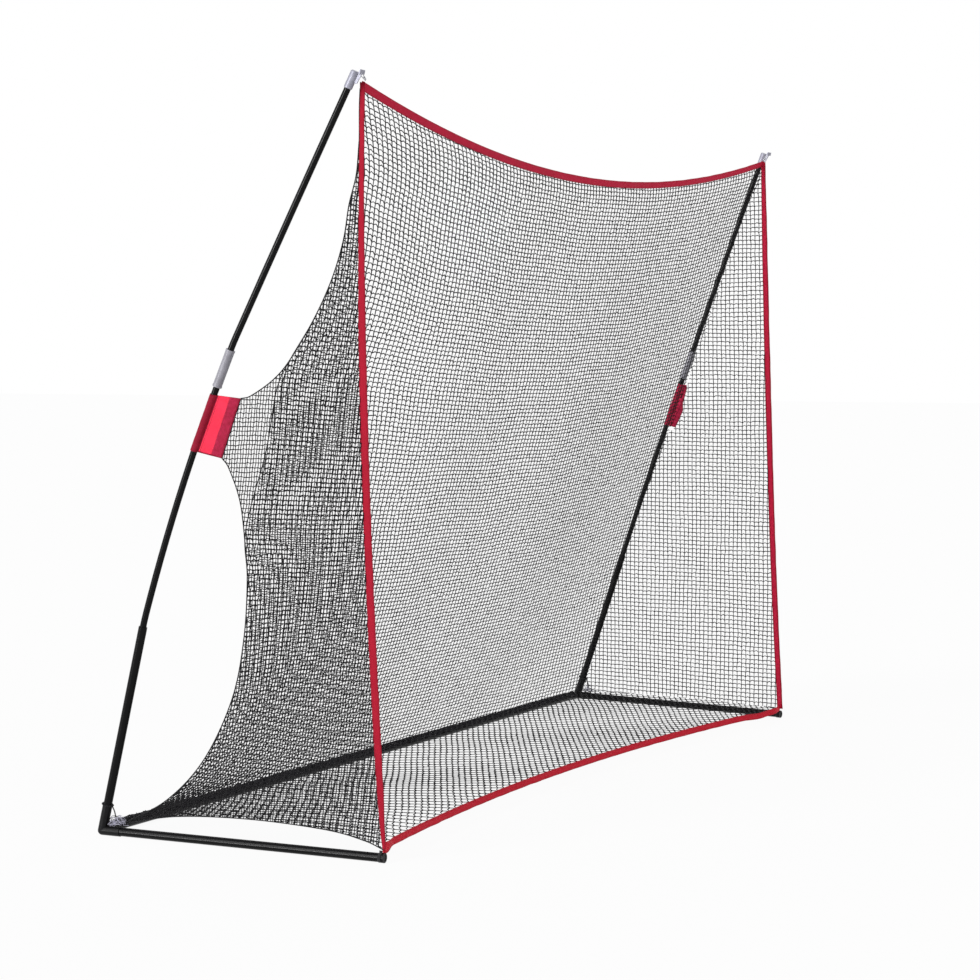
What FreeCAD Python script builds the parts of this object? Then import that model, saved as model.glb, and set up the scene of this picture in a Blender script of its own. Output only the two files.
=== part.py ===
"""Free-standing golf practice net: a plug-together steel base, two sprung poles and a hung net.

Millimetres, +Z up. X runs along the width, the open front faces -Y, and z = 0 is the floor.
Each side of the net stands in an upright plane of its own. Points in that plane are written
(s, z): s forward along the side bar from the rear corner, z up from the bars' own axis.
"""
import FreeCAD
import Part
import math
import os

from FreeCAD import Placement, Rotation, Vector

doc = FreeCAD.newDocument("golf_practice_net")

# Sizes: one cell each, in millimetres and degrees.
SIZES = {
    # base frame
    "frame_width": 3050,        # between the two rear corners' axes
    "side_length": 914,         # rear corner axis to the front plug's nose
    "splay_angle": 4.78,        # each side bar turns in towards the front
    "base_od": 25,
    "base_wall": 1.2,
    "fit_gap": 0.1,             # radial play of every plug-in joint
    # corner fittings
    "fitting_od": 28,
    "foot_flat": 0.3,           # how far the fittings are flattened under their round
    "rear_arm": 62,
    "side_arm": 62,
    "upright_arm": 83,
    "spigot_length": 40,
    "spigot_wall": 1.8,
    # spring buttons
    "button_od": 7.8,
    "button_hole": 8.2,
    "button_proud": 2.4,        # how far a button stands out of its tube
    "button_collar_od": 10.6,
    "button_collar": 1,
    "clip_width": 5,
    "clip_strip": 0.6,
    "clip_reach": 30,
    # front plugs
    "plug_flange": 5,
    "plug_depth": 28,
    # poles
    "pole_od": 19,
    "pole_wall": 1.6,
    "pole_seat": 50,            # length of pole inside the lower upright
    "lower_length": 615,        # rear corner to the top of the lower upright
    "coupler_length": 112,
    "coupler_od": 26,
    "coupler_rim": 1.6,
    "cap_length": 50,
    "cap_od": 24,
    # the near side's pole bows under the net's pull, the far side's stands nearly straight
    "left_lower_lean": 13.5,
    "left_middle_lean": 16.8,
    "left_coupler_lean": 23.7,
    "left_upper_lean": 27.5,
    "left_top_lean": 28.1,
    "left_middle_length": 731,
    "left_upper_length": 797,
    "right_lower_lean": 20,
    "right_middle_lean": 20.2,
    "right_coupler_lean": 21.8,
    "right_upper_lean": 21.9,
    "right_top_lean": 22.3,
    "right_middle_length": 757,
    "right_upper_length": 760,
    # hooks on the pole caps
    "hook_reach": 20,
    "hook_arm_od": 7,
    "hook_plate_width": 28,
    "hook_plate_height": 12,
    "loop_cord": 2.6,
    # nets and tapes
    "net_thickness": 1.5,
    "back_thickness": 2,
    "soft_gap": 0.3,            # clearance round every soft piece
    "net_border": 9,
    "net_low_rear": 84,         # side nets' lower rear corners in front of the fittings
    "net_arch": 41,             # rise of the side nets' lower edges at mid length
    "back_belly": 260,          # how far the back net hangs forward of a straight line, x 4
    "back_net_columns": 12,
    "back_net_rows": 9,
    "back_net_strand": 11,
    "side_net_pitch": 84,
    "floor_net_pitch": 124,
    "net_strand": 7,
    "tape_thickness": 2.4,
    "side_tape": 17,
    "top_tape": 21,
    "hem_tape": 21,
    "top_corner_ahead": 3.3,    # side tape's upper end in front of the poles' tips
    "top_corner_drop": 39,      # upper edge of the red tapes below the lower pole tip
    "foot_corner_back": 5,      # side tape's lower end behind the front plugs' noses
    "foot_corner_z": 21,
    "side_tape_bow": 20,        # backward bow of the side tape
    "top_sag": 155,             # fall of the top edge at mid width
    "top_set_back": 70,
    "hem_set_back": 136,        # front hem's middle behind its ends
    "hem_below_net": 6,         # hem's lower edge below the floor net
    "hem_roll": 13,             # net gathered along the rear bar
    "left_sleeve_reach": 72,
    "right_sleeve_reach": 36,
    "sleeve_length": 172,
    "sleeve_cloth": 1.5,
    "sleeve_low_z": 1100,       # height of the sleeves' lower end at the pole
    "strap_width": 10,
    "strap_cloth": 0.6,
    "strap_cord": 3,
}

sheet = doc.addObject("Spreadsheet::Sheet", "Sizes")
for row, (alias, value) in enumerate(SIZES.items(), start=1):
    sheet.set("A%d" % row, alias.replace("_", " "))
    sheet.set("B%d" % row, str(value))
    sheet.setAlias("B%d" % row, alias)
doc.recompute()


def size(alias):
    return float(sheet.get(alias))


# Sizes that follow from others.
axis_z = size("fitting_od") / 2 - size("foot_flat")
bore = size("base_od") - 2 * size("base_wall")
spigot_od = bore - 2 * size("fit_gap")
spigot_bore = spigot_od - 2 * size("spigot_wall")
pole_bore = size("pole_od") + 2 * size("fit_gap")
splay = math.radians(size("splay_angle"))
foot_corner_s = size("side_length") - size("foot_corner_back")
front_reach = foot_corner_s * math.cos(splay) + size("hem_tape") / 2
back_reach = size("base_od") / 2 + size("button_proud")
rear_y = (front_reach - back_reach) / 2     # rear bar axis behind the footprint's middle
PLUG_BORE = "Sizes.base_od / 2 - Sizes.base_wall"
SPIGOT_R = "Sizes.base_od / 2 - Sizes.base_wall - Sizes.fit_gap"


def named(name, obj):
    """Give a finished sub-part its label; labels name the files."""
    obj.Label = name
    finished.append(obj)
    return obj


finished = []


def toward(direction):
    """Rotation that turns the Z axis into a direction."""
    return Rotation(Vector(0, 0, 1), direction)


def rod(radius, height, place):
    """A cylinder whose radius and height are sheet expressions."""
    obj = doc.addObject("Part::Cylinder", "Rod")
    obj.setExpression("Radius", radius)
    obj.setExpression("Height", height)
    obj.Placement = place
    return obj


def eased_end(cylinder, direction, radius, kind="Part::Fillet"):
    """Fillet or chamfer round the end of a cylinder that lies furthest along a direction."""
    doc.recompute([cylinder])
    edges = cylinder.Shape.Edges
    far = max(range(len(edges)), key=lambda i: edges[i].CenterOfMass.dot(direction))
    obj = doc.addObject(kind, "Eased")
    obj.Base = cylinder
    obj.Edges = [(far + 1, radius, radius)]
    return obj


def box(length, width, height, place):
    obj = doc.addObject("Part::Box", "Block")
    obj.setExpression("Length", length)
    obj.setExpression("Width", width)
    obj.setExpression("Height", height)
    obj.Placement = place
    return obj


def fuse(pieces):
    obj = doc.addObject("Part::MultiFuse", "Joined")
    obj.Shapes = pieces
    obj.Refine = True
    return obj


def cut(body, tools):
    tool = tools[0] if len(tools) == 1 else fuse(tools)
    obj = doc.addObject("Part::Cut", "Hollowed")
    obj.Base = body
    obj.Tool = tool
    return obj


def feature(name, shape, place=None):
    """A sub-part whose shape comes from Part's own functions."""
    obj = doc.addObject("Part::Feature", "Shaped")
    obj.Shape = shape
    if place:
        obj.Placement = place
    return named(name, obj)


# Side frames. X of the local frame runs forward along the side bar, Z up, Y = Z x X.
def side_place(sign):
    corner = Vector(sign * size("frame_width") / 2, rear_y, axis_z)
    turn = -90 - sign * size("splay_angle")
    return Placement(corner, Rotation(Vector(0, 0, 1), turn))


def at(s, z, n=0):
    return Vector(s, n, z)


def lean_dir(lean):
    return at(math.sin(math.radians(lean)), math.cos(math.radians(lean)))


def step(start, lean_from, lean_to, length):
    """End point of a run of the pole whose lean changes evenly along it."""
    mean = math.radians((lean_from + lean_to) / 2)
    half = math.radians(lean_to - lean_from) / 2
    chord = length * (math.sin(half) / half if abs(half) > 1e-6 else 1)
    return start + at(math.sin(mean), math.cos(mean)) * chord


def bent_tube(start, runs, outer, inner):
    """Tube along runs of (lean from, lean to, length): straight runs extruded, bends turned."""
    solids = []
    for lean_from, lean_to, length in runs:
        along = lean_dir(lean_from)
        rings = [Part.Wire([Part.makeCircle(radius, start, along)])
                 for radius in (outer / 2, inner / 2)]
        face = Part.Face(rings)
        face.validate()
        turn = lean_to - lean_from
        if abs(turn) < 0.02:
            solids.append(face.extrude(along * length))
        else:
            bend_radius = length / math.radians(turn)
            across = at(math.cos(math.radians(lean_from)), -math.sin(math.radians(lean_from)))
            solids.append(face.revolve(start + across * bend_radius, Vector(0, 1, 0), turn))
        start = step(start, lean_from, lean_to, length)
    tube = solids[0].fuse(solids[1:]).removeSplitter()
    return tube.Solids[0], start


# Pole lines: where each section starts and how it leans, worked out from the foot up.
def pole_line(side):
    lower = size(side + "_lower_lean")
    middle = size(side + "_middle_lean")
    coupler = size(side + "_coupler_lean")
    upper = size(side + "_upper_lean")
    top = size(side + "_top_lean")
    bend = 40.0
    foot = lean_dir(lower) * (size("lower_length") - size("pole_seat"))
    mouth = lean_dir(lower) * size("lower_length")
    middle_free = size(side + "_middle_length") - bend
    upper_free = size(side + "_upper_length") - bend
    bent = step(mouth, lower, middle, bend)
    coupler_foot = step(bent, middle, coupler, middle_free)
    half = size("coupler_length") / 2
    centre = coupler_foot + lean_dir(coupler) * half
    coupler_top = centre + lean_dir(coupler) * half
    cap_foot = step(step(coupler_top, coupler, upper, bend), upper, top, upper_free)
    tip = cap_foot + lean_dir(top) * size("cap_length")
    return {
        "lower": lower, "coupler": coupler, "top": top, "mouth": mouth, "bent": bent,
        "foot": foot, "coupler_foot": coupler_foot, "centre": centre, "cap_foot": cap_foot,
        "tip": tip,
        "middle_runs": [(lower, lower, size("pole_seat")), (lower, middle, bend),
                        (middle, coupler, middle_free), (coupler, coupler, half - 1)],
        "upper_runs": [(coupler, coupler, half - 1), (coupler, upper, bend),
                       (upper, top, upper_free), (top, top, size("cap_length") - 6)],
        "middle_lean": middle, "middle_free": middle_free,
    }


def pole_at(line, z):
    """Point and lean of the middle pole at a height."""
    reach = (z - line["bent"].z) / (line["coupler_foot"].z - line["bent"].z)
    lean = line["middle_lean"] + (line["coupler"] - line["middle_lean"]) * reach
    return step(line["bent"], line["middle_lean"], lean, line["middle_free"] * reach), lean


def snap_button(name, seat, out, deep):
    """Spring button through a tube wall and the bent strip clip that carries it.

    seat lies on the tube's axis, out points from the axis through the button, and deep
    points along the axis away from the tube's mouth, where the strip bends back.
    """
    spread = out.cross(deep)
    turn = Rotation(out, spread, deep, "XYZ")
    place = Placement(seat, turn)
    inner = math.sqrt((spigot_bore / 2) ** 2 - (size("button_collar_od") / 2) ** 2)
    collar_top = inner - 0.15
    collar_foot = collar_top - size("button_collar")
    collar = rod("Sizes.button_collar_od / 2", "Sizes.button_collar",
                 Placement(seat + out * collar_foot, toward(out)))
    stem = rod("Sizes.button_od / 2",
               "Sizes.base_od / 2 + Sizes.button_proud - %.3f" % collar_foot,
               Placement(seat + out * collar_foot, toward(out)))
    named("snap_button_" + name, fuse([collar, eased_end(stem, out, 1.6, "Part::Chamfer")]))

    # The strip: one leaf under the collar, the other along the far wall, joined by a bend.
    strip = size("clip_strip")
    top = collar_foot - 0.1
    wall = math.sqrt((spigot_bore / 2) ** 2 - (size("clip_width") / 2) ** 2) - 0.1
    reach = size("clip_reach")
    start = -size("button_collar_od") / 2
    bend = 2.0
    outer = [Vector(top, 0, start), Vector(top, 0, 4), Vector(-wall + 2 * bend + 2, 0, reach),
             Vector(-wall, 0, reach), Vector(-wall, 0, start)]
    inner_line = [Vector(-wall + strip, 0, start), Vector(-wall + strip, 0, reach - strip),
                  Vector(-wall + 2 * bend + 1.6, 0, reach - strip), Vector(top - strip, 0, 3.6),
                  Vector(top - strip, 0, start)]
    outline = Part.makePolygon(outer + inner_line + outer[:1])
    leaf = Part.Face(outline)
    leaf.translate(Vector(0, -size("clip_width") / 2, 0))
    feature("clip_spring_" + name, leaf.extrude(Vector(0, size("clip_width"), 0)), place)


# Rear bar: three tubes, the middle one swaged at both ends to plug into its neighbours.
rear_span = size("frame_width") - 2 * size("rear_arm")
section = rear_span / 3
SECTION = "(Sizes.frame_width - 2 * Sizes.rear_arm) / 3"
ALONG_X = Rotation(Vector(0, 1, 0), 90)
BACK = Vector(0, 1, 0)


def rear_point(x):
    return Vector(x, rear_y, axis_z)


def button_hole(seat, out):
    return rod("Sizes.button_hole / 2", "Sizes.base_od", Placement(seat, toward(out)))


def rear_bar(name, x, holes, swaged):
    outside = rod("Sizes.base_od / 2", SECTION, Placement(rear_point(x), ALONG_X))
    inside = rod(PLUG_BORE, SECTION + " + 2", Placement(rear_point(x - 1), ALONG_X))
    if swaged:
        ends = rod(SPIGOT_R, SECTION + " + 2 * Sizes.spigot_length",
                   Placement(rear_point(x - size("spigot_length")), ALONG_X))
        outside = fuse([outside, ends])
        inside = rod(SPIGOT_R + " - Sizes.base_wall", SECTION + " + 2 * Sizes.spigot_length + 2",
                     Placement(rear_point(x - size("spigot_length") - 1), ALONG_X))
    return named(name, cut(outside, [inside] + [button_hole(rear_point(h), BACK) for h in holes]))


left_x = -rear_span / 2
plug_mid = size("spigot_length") / 2
rear_bar("rear_bar_left", left_x, [left_x + plug_mid, left_x + section - plug_mid], False)
rear_bar("rear_bar_middle", left_x + section,
         [left_x + section - plug_mid, left_x + 2 * section + plug_mid], True)
rear_bar("rear_bar_right", left_x + 2 * section,
         [left_x + 2 * section + plug_mid, -left_x - plug_mid], False)


def spigot_hollow():
    return "Sizes.base_od / 2 - Sizes.base_wall - Sizes.fit_gap - Sizes.spigot_wall"


def build_frame_side(side, sign):
    """Corner fitting, side bar, front plug, and the pole with its coupler and cap."""
    place = side_place(sign)
    turn = place.Rotation
    corner = place.Base
    line = pole_line(side)
    forward = turn.multVec(Vector(1, 0, 0))
    inward = Vector(-sign, 0, 0)
    upright = turn.multVec(lean_dir(line["lower"]))
    outward = turn.multVec(Vector(0, 1, 0))

    # Corner fitting: a ball with three arms, each ending in a spigot for its tube.
    arms = [(inward, "rear_arm", BACK), (forward, "side_arm", outward),
            (upright, "upright_arm", outward)]
    body = [doc.addObject("Part::Sphere", "Corner")]
    body[0].setExpression("Radius", "Sizes.fitting_od / 2")
    body[0].Placement = Placement(corner, Rotation())
    hollows = []
    for direction, arm, out in arms:
        reach = size(arm)
        body.append(rod("Sizes.fitting_od / 2", "Sizes." + arm, Placement(corner, toward(direction))))
        body.append(rod(SPIGOT_R, "Sizes." + arm + " + Sizes.spigot_length",
                        Placement(corner, toward(direction))))
        depth = size("spigot_length") + 12
        mouth = corner + direction * (reach + size("spigot_length") + 1 - depth)
        hollows.append(rod(spigot_hollow(), "Sizes.spigot_length + 12",
                           Placement(mouth, toward(direction))))
        hollows.append(button_hole(corner + direction * (reach + plug_mid), out))
    floor_cut = box("Sizes.fitting_od * 8", "Sizes.fitting_od * 8", "Sizes.fitting_od",
                    Placement(corner - Vector(size("fitting_od") * 4, size("fitting_od") * 4,
                                              axis_z + size("fitting_od")), Rotation()))
    named("corner_fitting_" + side, cut(fuse(body), hollows + [floor_cut]))

    # Side bar and the plug that closes its front end.
    bar_end = size("side_length") - size("plug_flange")
    BAR = "Sizes.side_length - Sizes.plug_flange - Sizes.side_arm"
    start = corner + forward * size("side_arm")
    named("side_bar_" + side, cut(
        rod("Sizes.base_od / 2", BAR, Placement(start, toward(forward))),
        [rod(PLUG_BORE, BAR + " + 2", Placement(start - forward, toward(forward))),
         button_hole(start + forward * plug_mid, outward)]))
    flange = rod("Sizes.fitting_od / 2", "Sizes.plug_flange",
                 Placement(corner + forward * bar_end, toward(forward)))
    stem = rod(SPIGOT_R, "Sizes.plug_depth",
               Placement(corner + forward * (bar_end - size("plug_depth")), toward(forward)))
    recess = rod("Sizes.base_od / 2 - 3.5", "1.5",
                 Placement(corner + forward * (bar_end + size("plug_flange") - 1.2),
                           toward(forward)))
    under = box("Sizes.fitting_od * 2", "Sizes.fitting_od * 2", "Sizes.fitting_od",
                Placement(corner + forward * bar_end - Vector(size("fitting_od"),
                          size("fitting_od"), axis_z + size("fitting_od")), Rotation()))
    named("front_plug_" + side, cut(fuse([flange, stem]), [recess, under]))

    # Lower upright, a plain tube with a guide bush inside its mouth for the thinner pole.
    LOWER = "Sizes.lower_length - Sizes.upright_arm"
    start = corner + upright * size("upright_arm")
    named("lower_upright_" + side, cut(
        rod("Sizes.base_od / 2", LOWER, Placement(start, toward(upright))),
        [rod(PLUG_BORE, LOWER + " + 2", Placement(start - upright, toward(upright))),
         button_hole(start + upright * plug_mid, outward)]))
    bush = corner + upright * (size("lower_length") - size("pole_seat") - 4)
    named("pole_bush_" + side, cut(
        rod(SPIGOT_R, "Sizes.pole_seat + 4", Placement(bush, toward(upright))),
        [rod("Sizes.pole_od / 2 + Sizes.fit_gap", "Sizes.pole_seat + 4",
             Placement(bush + upright * 4, toward(upright)))]))

    # Poles, bent as the net pulls them.
    inner = size("pole_od") - 2 * size("pole_wall")
    middle, _ = bent_tube(line["foot"], line["middle_runs"], size("pole_od"), inner)
    feature("middle_pole_" + side, middle, place)
    upper, _ = bent_tube(line["centre"] + lean_dir(line["coupler"]), line["upper_runs"],
                         size("pole_od"), inner)
    feature("upper_pole_" + side, upper, place)

    # Coupler: a plain barrel with a rolled rim at both ends.
    coupler_dir = turn.multVec(lean_dir(line["coupler"]))
    foot = place.multVec(line["coupler_foot"])
    barrel = rod("Sizes.coupler_od / 2", "Sizes.coupler_length", Placement(foot, toward(coupler_dir)))
    rims = [rod("Sizes.coupler_od / 2 + Sizes.coupler_rim / 2", "3 * Sizes.coupler_rim",
                Placement(foot + coupler_dir * along, toward(coupler_dir)))
            for along in (0, size("coupler_length") - 3 * size("coupler_rim"))]
    hole = rod("Sizes.pole_od / 2 + Sizes.fit_gap", "Sizes.coupler_length + 2",
               Placement(foot - coupler_dir, toward(coupler_dir)))
    named("pole_coupler_" + side, cut(fuse([barrel] + rims), [hole]))

    # Cap with a forward hook: an arm, a cross plate at its end and a web underneath.
    cap_dir = turn.multVec(lean_dir(line["top"]))
    foot = place.multVec(line["cap_foot"])
    tip = line["tip"]
    skirt = rod("Sizes.cap_od / 2", "Sizes.cap_length", Placement(foot, toward(cap_dir)))
    rounded = eased_end(skirt, cap_dir, 2.5, "Part::Chamfer")
    arm = rod("Sizes.hook_arm_od / 2", "Sizes.hook_reach",
              Placement(place.multVec(at(tip.x, tip.z - 6)), toward(forward)))
    web_shape = Part.Face(Part.makePolygon([
        at(tip.x, tip.z - 8, -2), at(tip.x + size("hook_reach"), tip.z - 8, -2),
        at(tip.x + 4, tip.z - 34, -2), at(tip.x - 8, tip.z - 34, -2), at(tip.x, tip.z - 8, -2)]))
    web = doc.addObject("Part::Feature", "Web")
    web.Shape = web_shape.extrude(Vector(0, 4, 0))
    web.Placement = place
    tilt = Rotation(Vector(0, 1, 0), 12)
    plate = box("3", "Sizes.hook_plate_width", "Sizes.hook_plate_height",
                Placement(place.multVec(at(tip.x + size("hook_reach") - 3, tip.z - 9,
                                           -size("hook_plate_width") / 2)), turn * tilt))
    socket = rod("Sizes.pole_od / 2 + Sizes.fit_gap", "Sizes.cap_length - 5",
                 Placement(foot - cap_dir * 0.5, toward(cap_dir)))
    named("pole_cap_" + side, cut(fuse([rounded, arm, web, plate]), [socket]))

    # Spring buttons of the three plug-in joints, on the sides turned from the front.
    for label, direction, arm_size, out in (("rear", inward, "rear_arm", BACK),
                                            ("side", forward, "side_arm", outward),
                                            ("upright", upright, "upright_arm", outward)):
        seat = corner + direction * (size(arm_size) + plug_mid)
        snap_button(label + "_" + side, seat, out, direction * -1)
    return line


lines = {"left": build_frame_side("left", -1), "right": build_frame_side("right", 1)}
snap_button("join_left", rear_point(left_x + section - plug_mid), BACK, Vector(1, 0, 0))
snap_button("join_right", rear_point(left_x + 2 * section + plug_mid), BACK, Vector(-1, 0, 0))


# The net's top corners hang from the hooks.
tips = [line["tip"] for line in lines.values()]
top_corner_s = (tips[0].x + tips[1].x) / 2 + size("top_corner_ahead")
top_corner_z = min(tip.z for tip in tips) - size("top_corner_drop")
side_tape_top = top_corner_z - size("top_tape")


# Net outlines. The scalloped edge is the near side's; the far side's runs beside its pole.
def arc(a, b, c):
    return Part.Arc(at(*a), at(*b), at(*c)).toShape()


def line_edge(a, b):
    return Part.LineSegment(at(*a), at(*b)).toShape()


def tape_s(z, offset=0.0):
    """Forward place of the side tape's middle line at a height."""
    share = (z - size("foot_corner_z")) / (side_tape_top - size("foot_corner_z"))
    straight = foot_corner_s + (top_corner_s - foot_corner_s) * share
    return straight - 4 * size("side_tape_bow") * share * (1 - share) + offset


def tape_line(offset, top_z=None):
    """Three points of the side tape's curve, moved forward in its plane by an offset."""
    heights = [top_z or side_tape_top, 0, size("foot_corner_z")]
    heights[1] = (heights[0] + heights[2]) / 2
    return [(tape_s(z, offset), z) for z in heights]


def tab_ends(side):
    """Where the net's tab ends, at the sleeve's forward edge."""
    line = lines[side]
    low, _ = pole_at(line, size("sleeve_low_z"))
    lean = pole_at(line, size("sleeve_low_z") + size("sleeve_length") / 2)[1]
    across = at(math.cos(math.radians(lean)), -math.sin(math.radians(lean)))
    tab_low = low + across * (size(side + "_sleeve_reach") + size("soft_gap"))
    tab_top = tab_low + lean_dir(lean) * size("sleeve_length")
    return (tab_low.x, tab_low.z), (tab_top.x, tab_top.z)


def hung(forward, up):
    """A net point given as shares of the side's length and of the side tape's height."""
    return forward * foot_corner_s, up * side_tape_top


def side_net_outline(side):
    tab_low, tab_top = tab_ends(side)
    net_top = hung(0, 0.891)[1] if side == "left" else side_tape_top
    top, middle, foot = tape_line(-size("side_tape") / 2 - size("soft_gap"), net_top)
    hem = (size("net_low_rear"), size("foot_corner_z") + 1)
    arch = ((foot[0] + hem[0]) / 2, size("foot_corner_z") + size("net_arch"))
    edges = [arc(top, middle, foot), arc(foot, arch, hem)]
    if side == "left":
        belly, shoulder = hung(0.508, 0.241), hung(0.809, 0.735)
        edges += [arc(hem, hung(0.363, 0.103), belly), arc(belly, hung(0.536, 0.367), tab_low),
                  line_edge(tab_low, tab_top), arc(tab_top, hung(0.704, 0.663), shoulder),
                  arc(shoulder, hung(0.867, 0.802), top)]
    else:
        shoulder = (top[0] - 8, top[1])
        edges += [line_edge(hem, tab_low), line_edge(tab_low, tab_top),
                  line_edge(tab_top, shoulder), line_edge(shoulder, top)]
    return Part.Wire(edges)


def holed(outline, pitch, normal, columns, rows, to_point):
    """A flat net: an outline less staggered gaps, trimmed along its bound edge."""
    face = Part.Face(outline)
    bound = Part.Face(outline.makeOffset2D(-size("net_border")))
    if bound.Area > face.Area:
        bound = Part.Face(outline.makeOffset2D(size("net_border")))
    gap = pitch - size("net_strand")
    gaps = []
    for row in range(rows):
        for column in range(columns):
            u = (column - (row % 2) / 2) * pitch
            v = row * pitch
            corners = [to_point(u, v), to_point(u + gap, v), to_point(u + gap, v + gap),
                       to_point(u, v + gap)]
            cell = Part.Face(Part.makePolygon(corners + corners[:1]))
            inside = sum(bound.isInside(p, 0.01, True) for p in corners)
            if inside == 4:
                gaps.append(cell.OuterWire)
            elif inside:
                gaps += [part.OuterWire for part in cell.common(bound).Faces
                         if part.Area > 0.12 * gap * gap]
    print("net gaps", len(gaps))
    net = Part.Face([outline] + gaps)
    net.validate()
    thickness = size("net_thickness")
    net.translate(normal * (-thickness / 2))
    return net.extrude(normal * thickness)


for side, sign in (("left", -1), ("right", 1)):
    inset = -size("side_tape") / 2 - size("soft_gap") - size("net_border")
    net = holed(side_net_outline(side), size("side_net_pitch"), Vector(0, 1, 0), 14, 34,
                lambda u, v: at(tape_s(v + 30, inset) - u, v + 30))
    feature("side_net_" + side, net, side_place(sign))
    # Red tape down the front edge.
    front = tape_line(size("side_tape") / 2)
    rear = tape_line(-size("side_tape") / 2)
    band = Part.Face(Part.Wire([arc(*front), line_edge(front[2], rear[2]), arc(*rear[::-1]),
                                line_edge(rear[0], front[0])]))
    band.translate(Vector(0, -size("tape_thickness") / 2, 0))
    feature("side_tape_" + side, band.extrude(Vector(0, size("tape_thickness"), 0)),
            side_place(sign))


# Top tape: a sagging band between the two top corners, in a plane that leans back.
def corner_point(sign, s, z):
    return side_place(sign).multVec(at(s, z))


top_y = corner_point(1, top_corner_s, 0).y
top_x = corner_point(1, top_corner_s, 0).x
top_z = axis_z + top_corner_z
fall = Vector(0, size("top_set_back"), -size("top_sag"))
fall_unit = Vector(fall)
fall_unit.normalize()


def sag_arc(half_width, across, drop, start, deepest):
    left_end = start + Vector(-half_width, 0, 0) + across * drop
    right_end = start + Vector(half_width, 0, 0) + across * drop
    middle = start + across * (drop + deepest)
    return left_end, middle, right_end


def sag_face(half_width, across, first, width, start, deepest):
    """Face between two sagging arcs."""
    a, b, c = sag_arc(half_width, across, first, start, deepest)
    d, e, f = sag_arc(half_width, across, first + width, start, deepest)
    return Part.Face(Part.Wire([
        Part.Arc(a, b, c).toShape(), Part.LineSegment(c, f).toShape(),
        Part.Arc(f, e, d).toShape(), Part.LineSegment(d, a).toShape()]))


def sag_band(half_width, across, first, width, start, deepest, thickness):
    """Flat band between two sagging arcs, extruded through its own plane."""
    normal = Vector(1, 0, 0).cross(across)
    normal.normalize()
    band = sag_face(half_width, across, first, width, start, deepest)
    band.translate(normal * (-thickness / 2))
    return band.extrude(normal * thickness)


tape_start = Vector(0, top_y, top_z)
clear_x = size("tape_thickness") / 2 + size("soft_gap")
feature("top_tape", sag_band(top_x, fall_unit, 0, size("top_tape"), tape_start,
                             fall.Length, size("tape_thickness")))

# Front hem of the floor net: a band on edge, set back in the middle.
hem_z = axis_z + size("foot_corner_z")
foot_y = corner_point(1, foot_corner_s, 0).y
foot_x = corner_point(1, foot_corner_s, 0).x
hem_half = foot_x - clear_x - 1.5
hem_start = Vector(0, foot_y - size("tape_thickness") / 2, hem_z)
hem_low = hem_start - Vector(0, 0, size("hem_below_net"))
hem_face = sag_face(hem_half, BACK, 0, size("tape_thickness"), hem_low, size("hem_set_back"))
feature("hem_tape", hem_face.extrude(Vector(0, 0, size("hem_tape"))))

# Net gathered in a roll along the rear bar.
roll_r = size("hem_roll") / 2
roll_z = axis_z + size("fitting_od") / 2 + roll_r + size("soft_gap")
roll = rod("Sizes.hem_roll / 2", "Sizes.frame_width - 2 * Sizes.rear_arm + 60",
           Placement(Vector(left_x - 30, rear_y - 2, roll_z), ALONG_X))
named("rear_hem_roll", roll)

# Floor net, flat between the hem and the roll.
net_rear = rear_y - 2 - roll_r - size("soft_gap")
hem_end, hem_mid, hem_end_r = sag_arc(hem_half, BACK,
                                      size("tape_thickness") + size("soft_gap"), hem_start,
                                      size("hem_set_back"))


def side_x(y):
    """Half width between the side nets at a given y."""
    return size("frame_width") / 2 - (rear_y - y) * math.tan(splay)


edge_gap = size("net_thickness") / 2 + size("soft_gap") + 1
rear_half = side_x(net_rear) - 60
front_half = side_x(hem_end.y) - edge_gap
corners = [Vector(-front_half, hem_end.y, hem_z), Vector(front_half, hem_end.y, hem_z),
           Vector(rear_half, net_rear, hem_z), Vector(-rear_half, net_rear, hem_z)]
floor_outline = Part.Wire([
    Part.Arc(corners[0], Vector(0, hem_mid.y, hem_z), corners[1]).toShape(),
    Part.LineSegment(corners[1], corners[2]).toShape(),
    Part.LineSegment(corners[2], corners[3]).toShape(),
    Part.LineSegment(corners[3], corners[0]).toShape()])
floor_depth = net_rear - hem_end.y


def floor_point(u, v):
    """Rows near the front follow the hem's curve and straighten towards the rear bar."""
    x = u - front_half
    bow = (hem_mid.y - hem_end.y) * (1 - (x / front_half) ** 2)
    share = (v + size("net_border")) / floor_depth
    return Vector(x, hem_end.y + bow + (floor_depth - bow) * share, hem_z)


feature("floor_net", holed(floor_outline, size("floor_net_pitch"), Vector(0, 0, 1), 34, 10,
                           floor_point))


# Back net: a sheet lofted through upright profiles, from the scalloped near seam to the
# straight far one. Each profile is three arcs, given as (rear-to-front y, z) points.
def profile(points, x_of):
    """Closed section of the sheet: three front arcs and the same three behind them."""
    thick = size("back_thickness")

    def arcs(shift):
        pts = [Vector(x_of(y + shift), y + shift, z) for y, z in points]
        return [curve(*pts[i:i + 3]) for i in (0, 2, 4)], pts[0], pts[-1]

    front, low_f, top_f = arcs(0)
    rear, low_r, top_r = arcs(thick)
    ends = [Part.LineSegment(top_f, top_r).toShape(), Part.LineSegment(low_r, low_f).toShape()]
    return Part.Wire(front + [ends[0]] + rear[::-1] + [ends[1]])


def curve(a, b, c):
    """Arc through three points, or a line where they stand in one."""
    if (b - a).cross(c - b).Length < 0.001 * (c - a).Length ** 2:
        return Part.LineSegment(a, c).toShape()
    return Part.Arc(a, b, c).toShape()


def seam(points, sign):
    """Seam points (s, z) of a side turned into (y, z) for the lofted sheet."""
    world = [side_place(sign).multVec(at(s, z)) for s, z in points]
    return [(p.y, p.z) for p in world]


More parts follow.
